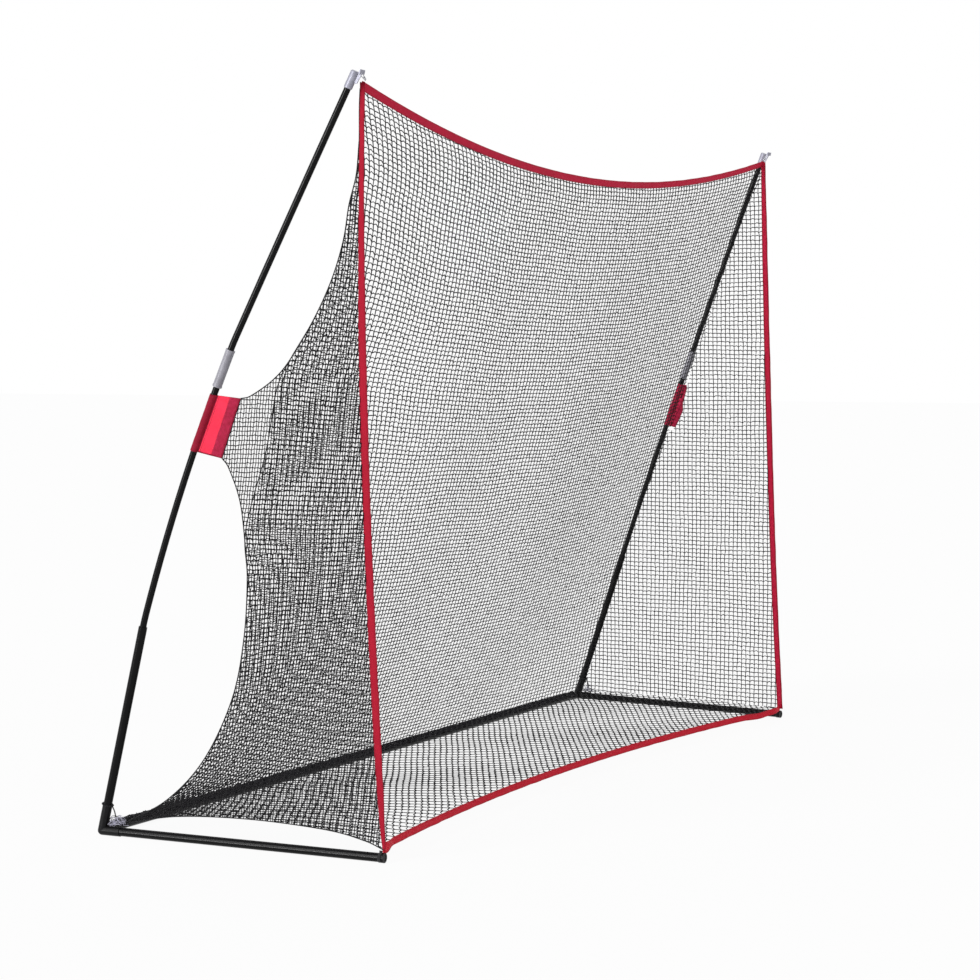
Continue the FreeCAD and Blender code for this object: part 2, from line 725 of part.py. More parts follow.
low_z = roll_z + roll_r + size("soft_gap") - axis_z
tape_low = tape_start + fall_unit * size("top_tape") * 0.6
seam_top_z = tape_low.z - axis_z
left_seam = seam([(60, low_z), hung(0.363, 0.111), hung(0.528, 0.356), hung(0.563, 0.498),
                  hung(0.66, 0.64), hung(0.847, 0.78), (top_corner_s - 7, seam_top_z)], -1)
tab_low, tab_top = tab_ends("right")
far_low = (44, low_z)
far_top = (top_corner_s - 16, seam_top_z)


def between(a, b, share):
    return (a[0] + (b[0] - a[0]) * share, a[1] + (b[1] - a[1]) * share)


right_seam = seam([far_low, between(far_low, tab_low, 0.33), between(far_low, tab_low, 0.66),
                   tab_low, tab_top, between(tab_top, far_top, 0.5), far_top], 1)


def middle_points(x):
    """Profile at a width: the blend of both seams, eased towards an even hang."""
    share = (x + top_x) / (2 * top_x)
    sag = 1 - (x / top_x) ** 2
    end = tape_low + fall * sag
    start = Vector(0, rear_y - 2, low_z + axis_z)
    hang = []
    for i in range(7):
        t = i / 6
        chord = start + (end - start) * t
        hang.append((chord.y - size("back_belly") * t * (1 - t), chord.z))
    near = min(1, abs(x) / top_x) ** 2
    seam_side = left_seam if x < 0 else right_seam
    points = []
    for i in range(7):
        z = seam_side[i][1] * near + hang[i][1] * (1 - near)
        y = seam_side[i][0] * near + hang[i][0] * (1 - near)
        points.append((y, z))
    points[0] = (rear_y - 2 - 30 * near, start.z)
    points[-1] = (end.y, end.z)
    return points


def seam_x(sign, z):
    """Half width of the net where its seam on one side passes a height."""
    points = left_seam if sign < 0 else right_seam
    below, above = next(((a, b) for a, b in zip(points, points[1:]) if z <= b[1]), points[-2:])
    share = (z - below[1]) / (above[1] - below[1])
    return side_x(below[0] + (above[0] - below[0]) * share)


def window(column, row, columns, rows):
    """A gap between the strands, run through the sheet from front to rear."""
    corners = []
    for across, up in ((0, 0), (1, 0), (1, 1), (0, 1)):
        p = 2 * (column + across) / columns - 1
        z_low, z_high = low_z + axis_z, tape_low.z - size("top_sag") * (1 - p * p)
        z = z_low + (z_high - z_low) * (row + up) / rows
        x = p * top_x
        edge = size("back_net_strand") / 2
        if abs(p) == 1:
            x = p * seam_x(p, z)
            edge += size("net_border") + edge_gap
        ease = 3 * size("net_border") if row + up in (0, rows) else 0
        inward = 1 - 2 * up
        corners.append(Vector(x + (1 - 2 * across) * edge, 0,
                              z + inward * (size("back_net_strand") / 2 + ease)))
    pane = Part.Face(Part.makePolygon(corners + corners[:1]))
    pane.translate(Vector(0, -size("side_length"), 0))
    return pane.extrude(Vector(0, 2 * size("side_length"), 0))


sections = []
inner_x = top_x - edge_gap - 1
for x in [-inner_x] + [share * top_x for share in (-5 / 6, -1 / 2, 0, 1 / 2, 5 / 6)] + [inner_x]:
    if abs(x) == inner_x:
        seam_side = left_seam if x < 0 else right_seam
        sign = -1 if x < 0 else 1
        sections.append(profile(seam_side,
                                lambda y, sign=sign: sign * (side_x(y) - edge_gap - 1)))
    else:
        sections.append(profile(middle_points(x), lambda y, x=x: x))
under_tape = sag_band(top_x + 20, fall_unit, -30, 30 + size("top_tape") + size("soft_gap"),
                      tape_start, fall.Length, 40)
sheet_net = Part.makeLoft(sections, True, True).cut(under_tape)
sheet_net = max(sheet_net.Solids, key=lambda solid: solid.Volume)
columns = int(size("back_net_columns"))
rows = int(size("back_net_rows"))
windows = [window(c, r, columns, rows) for c in range(columns) for r in range(rows)]
feature("back_net", sheet_net.cut(windows).Solids[0])
print("back net gaps", len(windows))


# Sleeves: cloth round the pole, closed to the net's tab by a flat double layer.
def sleeve(side, sign):
    line = lines[side]
    low, _ = pole_at(line, size("sleeve_low_z"))
    lean = pole_at(line, size("sleeve_low_z") + size("sleeve_length") / 2)[1]
    inner = size("pole_od") / 2 + size("soft_gap") + 0.7
    outer = inner + size("sleeve_cloth")
    flat = size("sleeve_cloth")
    meet = math.sqrt(outer ** 2 - flat ** 2)
    reach = size(side + "_sleeve_reach")
    ring = Part.Arc(Vector(meet, flat, 0), Vector(-outer, 0, 0), Vector(meet, -flat, 0)).toShape()
    tongue = Part.makePolygon([Vector(meet, -flat, 0), Vector(reach, -flat, 0),
                               Vector(reach, flat, 0), Vector(meet, flat, 0)])
    outline = Part.Wire([ring] + tongue.Edges)
    face = Part.Face([outline, Part.Wire([Part.makeCircle(inner)])])
    face.validate()
    tilt = Placement(low, Rotation(Vector(0, 1, 0), lean))
    shape = face.extrude(Vector(0, 0, size("sleeve_length")))
    feature("pole_sleeve_" + side, shape, side_place(sign) * tilt)


def top_loop(side, sign):
    """Cord loop over the hook's arm, its two strands drawn together at the tape's corner."""
    tip = lines[side]["tip"]
    cord = size("loop_cord")
    big = size("hook_arm_od") / 2 + size("soft_gap") + cord
    small = 1.6 + cord
    s = tip.x + size("hook_reach") - 3 - cord - size("soft_gap") - 0.6
    top_centre = tip.z - 6
    low_centre = top_corner_z + 1.5 + size("soft_gap") + small

    def teardrop(inset):
        """Two circles of the loop's ends joined by their tangents."""
        upper, lower = big - inset, small - inset
        tilt = math.asin((upper - lower) / (top_centre - low_centre))
        c, d = math.cos(tilt), math.sin(tilt)
        high = [at(s, top_centre - upper * d, side * upper * c) for side in (1, -1)]
        low = [at(s, low_centre - lower * d, side * lower * c) for side in (1, -1)]
        return Part.Wire([
            Part.Arc(high[0], at(s, top_centre + upper), high[1]).toShape(),
            Part.LineSegment(high[1], low[1]).toShape(),
            Part.Arc(low[1], at(s, low_centre - lower), low[0]).toShape(),
            Part.LineSegment(low[0], high[0]).toShape()])

    face = Part.Face([teardrop(0), teardrop(cord)])
    face.validate()
    feature("top_loop_" + side, face.extrude(Vector(cord, 0, 0)), side_place(sign))


def front_strap(side, sign):
    """Webbing loop round the bar, drawn up to the net's lower front corner."""
    inner = size("base_od") / 2 + size("soft_gap")
    outer = inner + size("strap_cloth")
    middle_s = foot_corner_s - 14
    ring = Part.makeCylinder(outer, size("strap_width"), at(middle_s, 0), Vector(1, 0, 0))
    ring = ring.cut(Part.makeCylinder(inner, size("strap_width") + 2, at(middle_s - 1, 0),
                                      Vector(1, 0, 0)))
    rise = size("foot_corner_z") - outer - size("soft_gap") - 1
    tab = Part.makeBox(size("strap_width"), 2 * size("strap_cloth"), rise + 1,
                       at(middle_s, outer - 1, -size("strap_cloth")))
    core = Part.makeCylinder(inner, size("strap_width") + 2, at(middle_s - 1, 0), Vector(1, 0, 0))
    feature("front_strap_" + side, ring.fuse(tab.cut(core)).removeSplitter(), side_place(sign))


def rear_strap(side, sign):
    """Cord ring round the upright arm, its tail drawn down to the gathered net."""
    lean = lines[side]["lower"]
    r = size("strap_cord") / 2
    ring_r = size("fitting_od") / 2 + size("soft_gap") + r
    centre = lean_dir(lean) * (size("upright_arm") - 6)
    ring = Part.makeCylinder(ring_r + r, 2 * r, centre, lean_dir(lean))
    ring = ring.cut(Part.makeCylinder(ring_r - r, 2 * r, centre, lean_dir(lean)))
    across = at(math.cos(math.radians(lean)), -math.sin(math.radians(lean)))
    high = centre + across * ring_r + lean_dir(lean) * r
    low = at(high.x + 14, 27)
    tail = Part.makeCylinder(r, (high - low).Length, low, high - low)
    feature("rear_strap_" + side, ring.fuse(tail).removeSplitter(), side_place(sign))


for side, sign in (("left", -1), ("right", 1)):
    sleeve(side, sign)
    top_loop(side, sign)
    front_strap(side, sign)
    rear_strap(side, sign)


doc.recompute()
for obj in doc.Objects:
    if "Invalid" in obj.State or "Error" in obj.State:
        raise RuntimeError("%s (%s) failed: %s" % (obj.Name, obj.Label, obj.State))
os.makedirs("parts", exist_ok=True)
for obj in finished:
    shape = obj.Shape
    if shape.isNull() or not shape.isValid() or not shape.Solids:
        raise RuntimeError("%s has no valid solid" % obj.Label)
for obj in finished:
    obj.Shape.exportStep("parts/%s.step" % obj.Label)
print(len(finished), "sub-parts")
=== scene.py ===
import math

import bpy
import numpy as np
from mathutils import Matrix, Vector


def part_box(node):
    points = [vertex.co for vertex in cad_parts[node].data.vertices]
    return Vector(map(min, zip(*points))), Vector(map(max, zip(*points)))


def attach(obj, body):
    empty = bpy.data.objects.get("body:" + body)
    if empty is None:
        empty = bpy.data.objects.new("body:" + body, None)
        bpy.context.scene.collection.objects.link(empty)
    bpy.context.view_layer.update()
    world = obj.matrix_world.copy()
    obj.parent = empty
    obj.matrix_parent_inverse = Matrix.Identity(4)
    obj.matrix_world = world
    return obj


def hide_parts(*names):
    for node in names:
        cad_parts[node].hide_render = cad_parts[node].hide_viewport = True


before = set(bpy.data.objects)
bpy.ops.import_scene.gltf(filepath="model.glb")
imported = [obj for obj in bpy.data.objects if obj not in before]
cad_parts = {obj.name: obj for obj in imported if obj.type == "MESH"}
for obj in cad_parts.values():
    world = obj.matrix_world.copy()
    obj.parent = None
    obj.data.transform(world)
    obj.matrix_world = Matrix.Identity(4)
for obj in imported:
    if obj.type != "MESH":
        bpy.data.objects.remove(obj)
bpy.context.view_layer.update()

scene = bpy.context.scene
pieces = []

# The camera stands low, in front and to the left.
eye = dict(azimuth=-61.07, elevation=3.32, distance=7.703, target=(-0.029, -0.0038, 0.9367),
           lens=84.6, sensor=36)
az, el = math.radians(eye["azimuth"]), math.radians(eye["elevation"])
away = Vector((math.sin(az) * math.cos(el), -math.cos(az) * math.cos(el), math.sin(el)))
target = Vector(eye["target"])
camData = bpy.data.cameras.new("view")
camData.lens, camData.sensor_width = eye["lens"], eye["sensor"]
camera = bpy.data.objects.new("view", camData)
camera.location = target + away * eye["distance"]
camera.rotation_euler = (-away).to_track_quat("-Z", "Y").to_euler()
scene.collection.objects.link(camera)
scene.camera = camera

# Where the base, the side planes and the net's red edges lie, in metres.
# s runs forward along a side bar from the rear corner, z up from the bar's axis.
barLow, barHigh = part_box("rear_bar_middle")
base = {"rearY": (barLow[1] + barHigh[1]) / 2, "axisZ": (barLow[2] + barHigh[2]) / 2,
        "half": 1.525, "splay": 4.78}
tape = {"footS": 0.911, "topS": 0.838, "footZ": 0.021, "topZ": 2.085, "bow": 0.0165,
        "cornerZ": {-1: 2.1137, 1: 2.1079}, "sag": 0.1545, "back": 0.0556, "skew": 0.096,
        "slope": 0.35, "inward": 0.029, "leanFrom": 0.9, "leanOver": 1.2, "leanDepth": 0.55}
tubes = {"bar": 0.0125, "fitting": 0.014, "pole": 0.0095}  # radii
upward = np.array([0.0, 0.0, 1.0])
sides = {-1: "left", 1: "right"}


def unit(v):
    v = np.asarray(v, float)
    return v / np.maximum(np.linalg.norm(v, axis=-1, keepdims=True), 1e-12)


def sideFrame(sign):
    a = math.radians(-90 - sign * base["splay"])
    forward = np.array([math.cos(a), math.sin(a), 0.0])
    across = np.array([-math.sin(a), math.cos(a), 0.0])
    corner = np.array([sign * base["half"], base["rearY"], base["axisZ"]])
    return corner, forward, across


def onSide(sign, s, z, n=0.0):
    # sign is -1 for the left side and 1 for the right one, n leads out of its plane.
    corner, forward, across = sideFrame(sign)
    s, z, n = np.broadcast_arrays(*[np.asarray(x, float) for x in (s, z, n)])
    return corner + s[..., None] * forward + z[..., None] * upward + n[..., None] * across


def tapeS(z):
    # The side tape's line, bowed a little to the rear.
    share = (np.asarray(z, float) - tape["footZ"]) / (tape["topZ"] - tape["footZ"])
    line = tape["footS"] + (tape["topS"] - tape["footS"]) * share
    return line - 4 * tape["bow"] * share * (1 - share)


def inwardAt(s, z):
    # The pull of the top edge leans the upper net in, most at its front corner.
    reach = np.clip((z - tape["leanFrom"]) / tape["leanOver"], 0, 1) ** 2
    return tape["inward"] * reach * np.clip(1 - (tapeS(z) - s) / tape["leanDepth"], 0, 1)


def onNet(sign, s, z, n=0.0):
    return onSide(sign, s, z, n - sign * inwardAt(s, z))


def sideX(y):
    return base["half"] - (base["rearY"] - y) * math.tan(math.radians(base["splay"]))


def sideS(y):
    return (base["rearY"] - y) / math.cos(math.radians(base["splay"]))


corners = {sign: onNet(sign, tape["topS"], tape["cornerZ"][sign]) for sign in (-1, 1)}
bandDown = unit([0.0, tape["slope"], -1.0])


def topEdge(x, drop=0.0):
    # A point of the sagging top edge, moved down its own band by drop.
    t = (np.asarray(x, float) - corners[-1][0]) / (corners[1][0] - corners[-1][0])
    h = 2 * t - 1
    hang = (1 - h ** 2) * (1 + tape["skew"] * h)
    line = corners[-1] + (corners[1] - corners[-1]) * t[..., None]
    return (line + hang[..., None] * np.array([0, tape["back"], -tape["sag"]])
            + drop * bandDown)


# Shader groups shared by several finishes; their inputs get values where they are used.
def newGroup(name, kind, ins, outs):
    group = bpy.data.node_groups.new(name, kind)
    for side, sockets in (("INPUT", ins), ("OUTPUT", outs)):
        for key, socket in sockets.items():
            group.interface.new_socket(key, in_out=side, socket_type="NodeSocket" + socket)
    given, out = group.nodes.new("NodeGroupInput"), group.nodes.new("NodeGroupOutput")
    return group, given.outputs, out


def feed(tree, n, inputs):
    # An input is given a value, or the socket that feeds it.
    for key, value in dict(inputs).items():
        if isinstance(value, bpy.types.NodeSocket):
            tree.links.new(value, n.inputs[key])
        else:
            n.inputs[key].default_value = value


def node(tree, kind, inputs=(), **props):
    n = tree.nodes.new(kind)
    for key, value in props.items():
        setattr(n, key, value)
    feed(tree, n, inputs)
    return n


def math2(tree, kind, a, b):
    return node(tree, "ShaderNodeMath", {0: a, 1: b}, operation=kind).outputs[0]


finishOuts = dict(Tone="Float", Wear="Float", Grain="Float")
clothMix = {"dye": 0.75, "weave": 0.35}


def makeWeaveGroup():
    # Two crossed rows of threads, and cloudy dye.
    group, given, out = newGroup("weave", "ShaderNodeTree",
                                 dict(Vector="Vector", Threads="Float", Cloud="Float"), finishOuts)
    threads = []
    for scale, axis in (((1, 1, 0.15), "DIAGONAL"), ((0.15, 0.15, 1.15), "Z")):  # weft, warp
        stretch = node(group, "ShaderNodeVectorMath", {0: given["Vector"], 1: scale},
                       operation="MULTIPLY")
        rows = node(group, "ShaderNodeTexWave",
                    {"Vector": stretch.outputs[0], "Scale": given["Threads"]},
                    wave_type="BANDS", bands_direction=axis)
        threads.append(rows.outputs["Fac"])
    weave = math2(group, "MULTIPLY", *threads)
    dye = node(group, "ShaderNodeTexNoise", {"Detail": 5.0, "Vector": given["Vector"],
                                             "Scale": given["Cloud"]}).outputs["Fac"]
    mixed = math2(group, "ADD", math2(group, "MULTIPLY", dye, clothMix["dye"]),
                  math2(group, "MULTIPLY", weave, clothMix["weave"]))
    feed(group, out, {"Tone": mixed, "Wear": dye, "Grain": weave})
    return group


def makeFinishGroup():
    # Cloudy tone, scuffs drawn out along the part, and fine grain.
    group, given, out = newGroup("finish", "ShaderNodeTree",
                                 dict(Vector="Vector", Drawn="Vector", Cloud="Float",
                                      Scuff="Float", Grain="Float"), finishOuts)
    drawn = node(group, "ShaderNodeVectorMath", {0: given["Vector"], 1: given["Drawn"]},
                 operation="MULTIPLY")
    for key, vector, scale, detail in (("Tone", given["Vector"], "Cloud", 4.0),
                                       ("Wear", drawn.outputs[0], "Scuff", 6.0),
                                       ("Grain", given["Vector"], "Grain", 2.0)):
        cloud = node(group, "ShaderNodeTexNoise", {"Detail": detail, "Roughness": 0.6,
                                                   "Vector": vector, "Scale": given[scale]})
        feed(group, out, {key: cloud.outputs["Fac"]})
    return group


# ends are the tones at which a look is all dark and all light.
kinds = {"finish": dict(group=makeFinishGroup(), ends=(0.3, 0.7),
                        sizes=("Cloud", "Scuff", "Grain", "Drawn")),
         "weave": dict(group=makeWeaveGroup(), ends=(0.2, 0.8), sizes=("Threads", "Cloud"))}


def makeMaterial(name, look, kind):
    mat = bpy.data.materials.new(name + "_look")
    mat.use_nodes = True
    tree, kind = mat.node_tree, kinds[kind]
    sizes = {key: look[key.lower()] for key in kind["sizes"]}
    point = node(tree, "ShaderNodeTexCoord").outputs["Object"]
    made = node(tree, "ShaderNodeGroup", dict(sizes, Vector=point),
                node_tree=kind["group"]).outputs
    ramp = node(tree, "ShaderNodeValToRGB", {"Fac": made["Tone"]})
    for stop, place, tone in zip(ramp.color_ramp.elements, kind["ends"], ("dark", "light")):
        stop.position, stop.color = place, (*look[tone], 1)
    rough = node(tree, "ShaderNodeMapRange", {"Value": made["Wear"], "To Min": look["rough"][0],
                                              "To Max": look["rough"][1]})
    raised = node(tree, "ShaderNodeBump", {"Height": made["Grain"], "Distance": look["height"],
                                           "Strength": look["strength"]})
    feed(tree, tree.nodes["Principled BSDF"], {
        "Base Color": ramp.outputs[0], "Roughness": rough.outputs[0],
        "Normal": raised.outputs[0], "Metallic": look.get("metal", 0.0),
        "Coat Weight": look.get("coat", 0.0), "Coat Roughness": 0.25,
        "Sheen Weight": look.get("sheen", 0.0), "Specular IOR Level": look["spec"]})
    return mat


# Finishes: cloud, threads, scuff and grain are how many to the metre, about.
looks = {
    "painted_tube": dict(dark=(0.0012, 0.0012, 0.0014), light=(0.0035, 0.0035, 0.004), cloud=9,
                         drawn=(1, 1, 0.25), scuff=45, rough=(0.20, 0.30), grain=1400,
                         height=0.00002, strength=0.10, spec=0.12),
    "moulded_black": dict(dark=(0.003, 0.003, 0.0035), light=(0.006, 0.006, 0.007), cloud=30,
                          drawn=(1, 1, 1), scuff=90, rough=(0.30, 0.48), grain=2200,
                          height=0.00004, strength=0.25, spec=0.14),
    "coupler_grey": dict(dark=(0.235, 0.230, 0.262), light=(0.33, 0.325, 0.37), cloud=40,
                         drawn=(1, 1, 0.3), scuff=120, rough=(0.36, 0.56), grain=1600,
                         height=0.00010, strength=0.4, coat=0.1, spec=0.5),
    "cap_silver": dict(dark=(0.26, 0.26, 0.32), light=(0.40, 0.40, 0.47), cloud=60,
                       drawn=(1, 1, 0.2), scuff=200, rough=(0.34, 0.50), grain=2500,
                       height=0.00005, strength=0.3, metal=0.2, spec=0.3),
    "spring_steel": dict(dark=(0.42, 0.42, 0.43), light=(0.6, 0.6, 0.6), cloud=120,
                         drawn=(1, 1, 0.3), scuff=300, rough=(0.22, 0.42), grain=2500,
                         height=0.00004, strength=0.3, metal=1.0, spec=0.5),
}
cord = dict(threads=900, rough=(0.62, 0.85), height=0.00025, sheen=0.05, spec=0.12, strength=0.6)
redTape = dict(cord, threads=520, rough=(0.5, 0.72), height=0.00022, sheen=0.03, spec=0.08)
redCloth = dict(cord, threads=420, sheen=0.03, spec=0.1)
cloths = {
    "net_cord": dict(cord, dark=(0.004, 0.0038, 0.0045), light=(0.016, 0.015, 0.018), cloud=260,
                     sheen=0.04),
    "roll_cord": dict(cord, dark=(0.016, 0.015, 0.019), light=(0.065, 0.061, 0.075), cloud=200),
    "edge_cord": dict(cord, dark=(0.006, 0.006, 0.007), light=(0.018, 0.018, 0.021), cloud=260,
                      threads=700, rough=(0.6, 0.8), height=0.0003, sheen=0.1, spec=0.2),
    "pale_mesh": dict(cord, dark=(0.34, 0.33, 0.46), light=(0.84, 0.83, 0.95), cloud=180,
                      rough=(0.6, 0.85), height=0.0002, sheen=0.3, spec=0.2),
    "white_cord": dict(cord, dark=(0.55, 0.56, 0.60), light=(0.82, 0.83, 0.86), cloud=90,
                       rough=(0.5, 0.7), height=0.0002, sheen=0.2, spec=0.3),
    "black_webbing": dict(cord, dark=(0.005, 0.005, 0.006), light=(0.015, 0.015, 0.017), cloud=60,
                          threads=650, rough=(0.55, 0.8), height=0.0003, sheen=0.15, spec=0.3),
    "red_thread": dict(cord, dark=(0.16, 0.004, 0.014), light=(0.30, 0.012, 0.030), cloud=200,
                       rough=(0.5, 0.7), height=0.0001, sheen=0.2, spec=0.3),
    "red_tape": dict(redTape, dark=(0.35, 0.006, 0.022), light=(0.47, 0.012, 0.036), cloud=35),
    # The next two are the tape's red made lighter: painted light on the top tape, the hem and the
    # far side tape's band.
    "red_top_painted_light": dict(redTape, dark=(0.52, 0.010, 0.040), light=(0.68, 0.020, 0.070), cloud=35),
    "red_hem_painted_light": dict(redTape, dark=(0.66, 0.012, 0.032), light=(0.82, 0.022, 0.052), cloud=35),
    "red_edge": dict(redTape, dark=(0.32, 0.006, 0.022), light=(0.44, 0.012, 0.036), cloud=60,
                     rough=(0.6, 0.8)),
    # The sleeve's red in three tones: a painted highlight on the near flap, painted shade round
    # the pole, and darker painted shade by the tab and on the far sleeve.
    "red_cloth": dict(redCloth, dark=(0.80, 0.010, 0.045), light=(0.96, 0.034, 0.098), cloud=22,
                      rough=(0.40, 0.55), height=0.0002, sheen=0.05, spec=0.15),
    "sleeve_red_painted_shade": dict(redCloth, dark=(0.22, 0.005, 0.020), light=(0.36, 0.014, 0.042), cloud=46,
                     rough=(0.55, 0.75)),
    "sleeve_wine_painted_shade": dict(redCloth, dark=(0.24, 0.004, 0.018), light=(0.56, 0.024, 0.090), cloud=95,
                      rough=(0.5, 0.7)),
}
materials = {name: makeMaterial(name, look, kind) for kind, some in
             (("finish", looks), ("weave", cloths)) for name, look in some.items()}
print("materials", len(materials))


# Geometry Nodes trees: each turns the lines of a mesh into cord, netting or stitches.
def geo(tree, kind, inputs=(), **props):
    return node(tree, "GeometryNode" + kind, inputs, **props).outputs[0]


def newTree(name, **sizes):
    ins = dict(Lines="Geometry", **sizes, Material="Material")
    tree, given, out = newGroup(name, "GeometryNodeTree", ins, dict(Geometry="Geometry"))
    return tree, given, out, geo(tree, "MeshToCurve", {"Mesh": given["Lines"]})


def closeTree(tree, given, out, geometry):
    # Every tree ends by making its copies real and giving them their finish.
    shaded = geo(tree, "SetShadeSmooth", {"Geometry": geometry})
    real = geo(tree, "RealizeInstances", {"Geometry": shaded})
    done = geo(tree, "SetMaterial", {"Geometry": real, "Material": given["Material"]})
    feed(tree, out, {"Geometry": done})
    return tree


def makeStrandTree():
    # Net cord: a small tube along every line, as thick as its points say.
    tree, given, out, curve = newTree("net_strand", Sides="Int")
    ring = geo(tree, "CurvePrimitiveCircle", {"Radius": 1.0, "Resolution": given["Sides"]})
    thick = geo(tree, "InputNamedAttribute", {"Name": "thick"}, data_type="FLOAT")
    return closeTree(tree, given, out, geo(tree, "CurveToMesh", {
        "Curve": curve, "Profile Curve": ring, "Scale": thick, "Fill Caps": False}))


def makeCordTree():
    # Laid cord: plies twisted round the line.
    tree, given, out, curve = newTree("laid_cord", Radius="Float", Lay="Float", Step="Float",
                                      Plies="Int")
    even = geo(tree, "ResampleCurve", {"Curve": curve, "Length": given["Step"]}, mode="LENGTH")
    run = node(tree, "GeometryNodeSplineParameter").outputs["Length"]
    turns = math2(tree, "MULTIPLY", math2(tree, "DIVIDE", run, given["Lay"]), 2 * math.pi)
    twisted = geo(tree, "SetCurveTilt", {"Curve": even, "Tilt": turns})
    spots = geo(tree, "MeshCircle", {"Vertices": given["Plies"],
                                     "Radius": math2(tree, "MULTIPLY", given["Radius"], 0.5)})
    ply = geo(tree, "CurvePrimitiveCircle", {
        "Resolution": 6, "Radius": math2(tree, "MULTIPLY", given["Radius"], 0.58)})
    placed = geo(tree, "InstanceOnPoints", {"Points": spots, "Instance": ply})
    profile = geo(tree, "RealizeInstances", {"Geometry": placed})
    return closeTree(tree, given, out, geo(tree, "CurveToMesh", {
        "Curve": twisted, "Profile Curve": profile, "Fill Caps": True}))


def makeStitchTree():
    # Thread: short closed stitches set along the line, each a little different.
    tree, given, out, curve = newTree("stitches", Pitch="Float", Long="Float", Radius="Float",
                                      Seed="Int")
    even = geo(tree, "ResampleCurve", {"Curve": curve, "Length": given["Pitch"]}, mode="LENGTH")
    stitch = geo(tree, "MeshCylinder", {"Vertices": 6, "Radius": given["Radius"],
                                        "Depth": given["Long"]})
    along = node(tree, "FunctionNodeAlignRotationToVector",
                 {"Vector": geo(tree, "InputTangent")}, axis="Z")
    uneven = node(tree, "FunctionNodeRandomValue", {0: (0.85, 0.85, 0.8), 1: (1.15, 1.15, 1.1),
                                                    "Seed": given["Seed"]},
                  data_type="FLOAT_VECTOR")
    return closeTree(tree, given, out, geo(tree, "InstanceOnPoints", {
        "Points": even, "Instance": stitch, "Rotation": along.outputs["Rotation"],
        "Scale": uneven.outputs[0]}))


trees = {"strand": makeStrandTree(), "cord": makeCordTree(), "stitch": makeStitchTree()}


# Meshes, and how each piece is counted and attached to the frame
def addPiece(name, mesh):
    obj = bpy.data.objects.new(name, mesh)
    scene.collection.objects.link(obj)
    pieces.append((name, sum(len(p.vertices) - 2 for p in mesh.polygons)))
    return obj


def grow(name, kind, verts, lines, material, sizes, thick=None):
    # Runs a tree over the lines and keeps its result as a plain mesh.
    mesh = bpy.data.meshes.new(name + "_lines")
    mesh.from_pydata(verts.tolist(), lines.tolist(), [])
    if thick is not None:
        mesh.attributes.new("thick", "FLOAT", "POINT").data.foreach_set(
            "value", np.asarray(thick, np.float32))
    carrier = bpy.data.objects.new(name + "_lines", mesh)
    scene.collection.objects.link(carrier)
    modifier = carrier.modifiers.new("grow", "NODES")
    modifier.node_group = trees[kind]
    sizes = dict(sizes, Material=materials[material])
    for item in trees[kind].interface.items_tree:
        if item.in_out == "INPUT" and item.name in sizes:
            modifier[item.identifier] = sizes[item.name]
    bpy.context.view_layer.update()
    graph = bpy.context.evaluated_depsgraph_get()
    grown = bpy.data.meshes.new_from_object(carrier.evaluated_get(graph), depsgraph=graph)
    carrier.modifiers.remove(modifier)
    bpy.data.objects.remove(carrier)
    bpy.data.meshes.remove(mesh)
    grown.name = name
    if "thick" in grown.attributes:
        grown.attributes.remove(grown.attributes["thick"])
    return addPiece(name, grown)


def worn(obj, nodeName=None):
    # Every soft piece stays with the frame; nodeName is the plain solid that it stands for.
    if nodeName:
        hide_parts(nodeName)
    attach(obj, "frame")


def chained(paths):
    # Joins paths into one set of points and lines.
    verts, lines, count = [], [], 0
    for path in paths:
        n = len(path)
        verts.append(np.asarray(path, float))
        lines.append(np.stack([np.arange(n - 1), np.arange(1, n)], 1) + count)
        count += n
    return np.concatenate(verts), np.concatenate(lines)


def cordPiece(name, paths, material, radius, lay, step=0.002):
    print(name, "cord length", [round(float(runAlong(path)[-1]), 4) for path in paths])
    return grow(name, "cord", *chained(paths), material,
                {"Radius": radius, "Lay": lay, "Plies": 3, "Step": step})


thread = {"Pitch": 0.0046, "Long": 0.0030, "Radius": 0.0004}


def looseStrands(name, paths, material, radius, sides=4):
    verts, lines = chained(paths)
    return grow(name, "strand", verts, lines, material, {"Sides": sides},
                np.full(len(verts), radius))


def stitchPiece(name, paths, seed):
    worn(grow(name, "stitch", *chained(paths), "red_thread", dict(thread, Seed=seed)))


def skinPiece(name, rings, mats, names):
    # Closed rings (n, m, 3) joined into a skin, with quads across the first and last ring.
    n, m, _ = rings.shape
    i, j = np.meshgrid(np.arange(n - 1), np.arange(m), indexing="ij")
    k = (j + 1) % m
    faces = np.stack([i * m + j, i * m + k, (i + 1) * m + k, (i + 1) * m + j], -1).reshape(-1, 4)
    index = np.broadcast_to(mats, (n - 1, m)).ravel()
    lids = np.array([(i, i + 1, m - 2 - i, m - 1 - i) for i in range(m // 2 - 1)])
    last = (n - 1) * m
    faces = np.concatenate([faces, lids[:, ::-1], lids + last])
    index = np.concatenate([index, np.full(2 * len(lids), index[0])])
    # A skin with a negative volume is inside out.
    a, b, c, d = np.moveaxis((rings - rings.mean((0, 1))).reshape(-1, 3)[faces], 1, 0)
    if np.sum(a * np.cross(b, c)) + np.sum(a * np.cross(c, d)) < 0:
        faces = faces[:, ::-1]
    mesh = bpy.data.meshes.new(name)
    mesh.from_pydata(rings.reshape(-1, 3).tolist(), [], faces.tolist())
    mesh.polygons.foreach_set("material_index", index.astype(np.int32))
    mesh.polygons.foreach_set("use_smooth", np.ones(len(faces), bool))
    mesh.validate()
    for mat in names:
        mesh.materials.append(materials[mat])
    return addPiece(name, mesh)


def runAlong(path):
    return np.concatenate([[0], np.cumsum(np.linalg.norm(np.diff(path, axis=0), axis=1))])


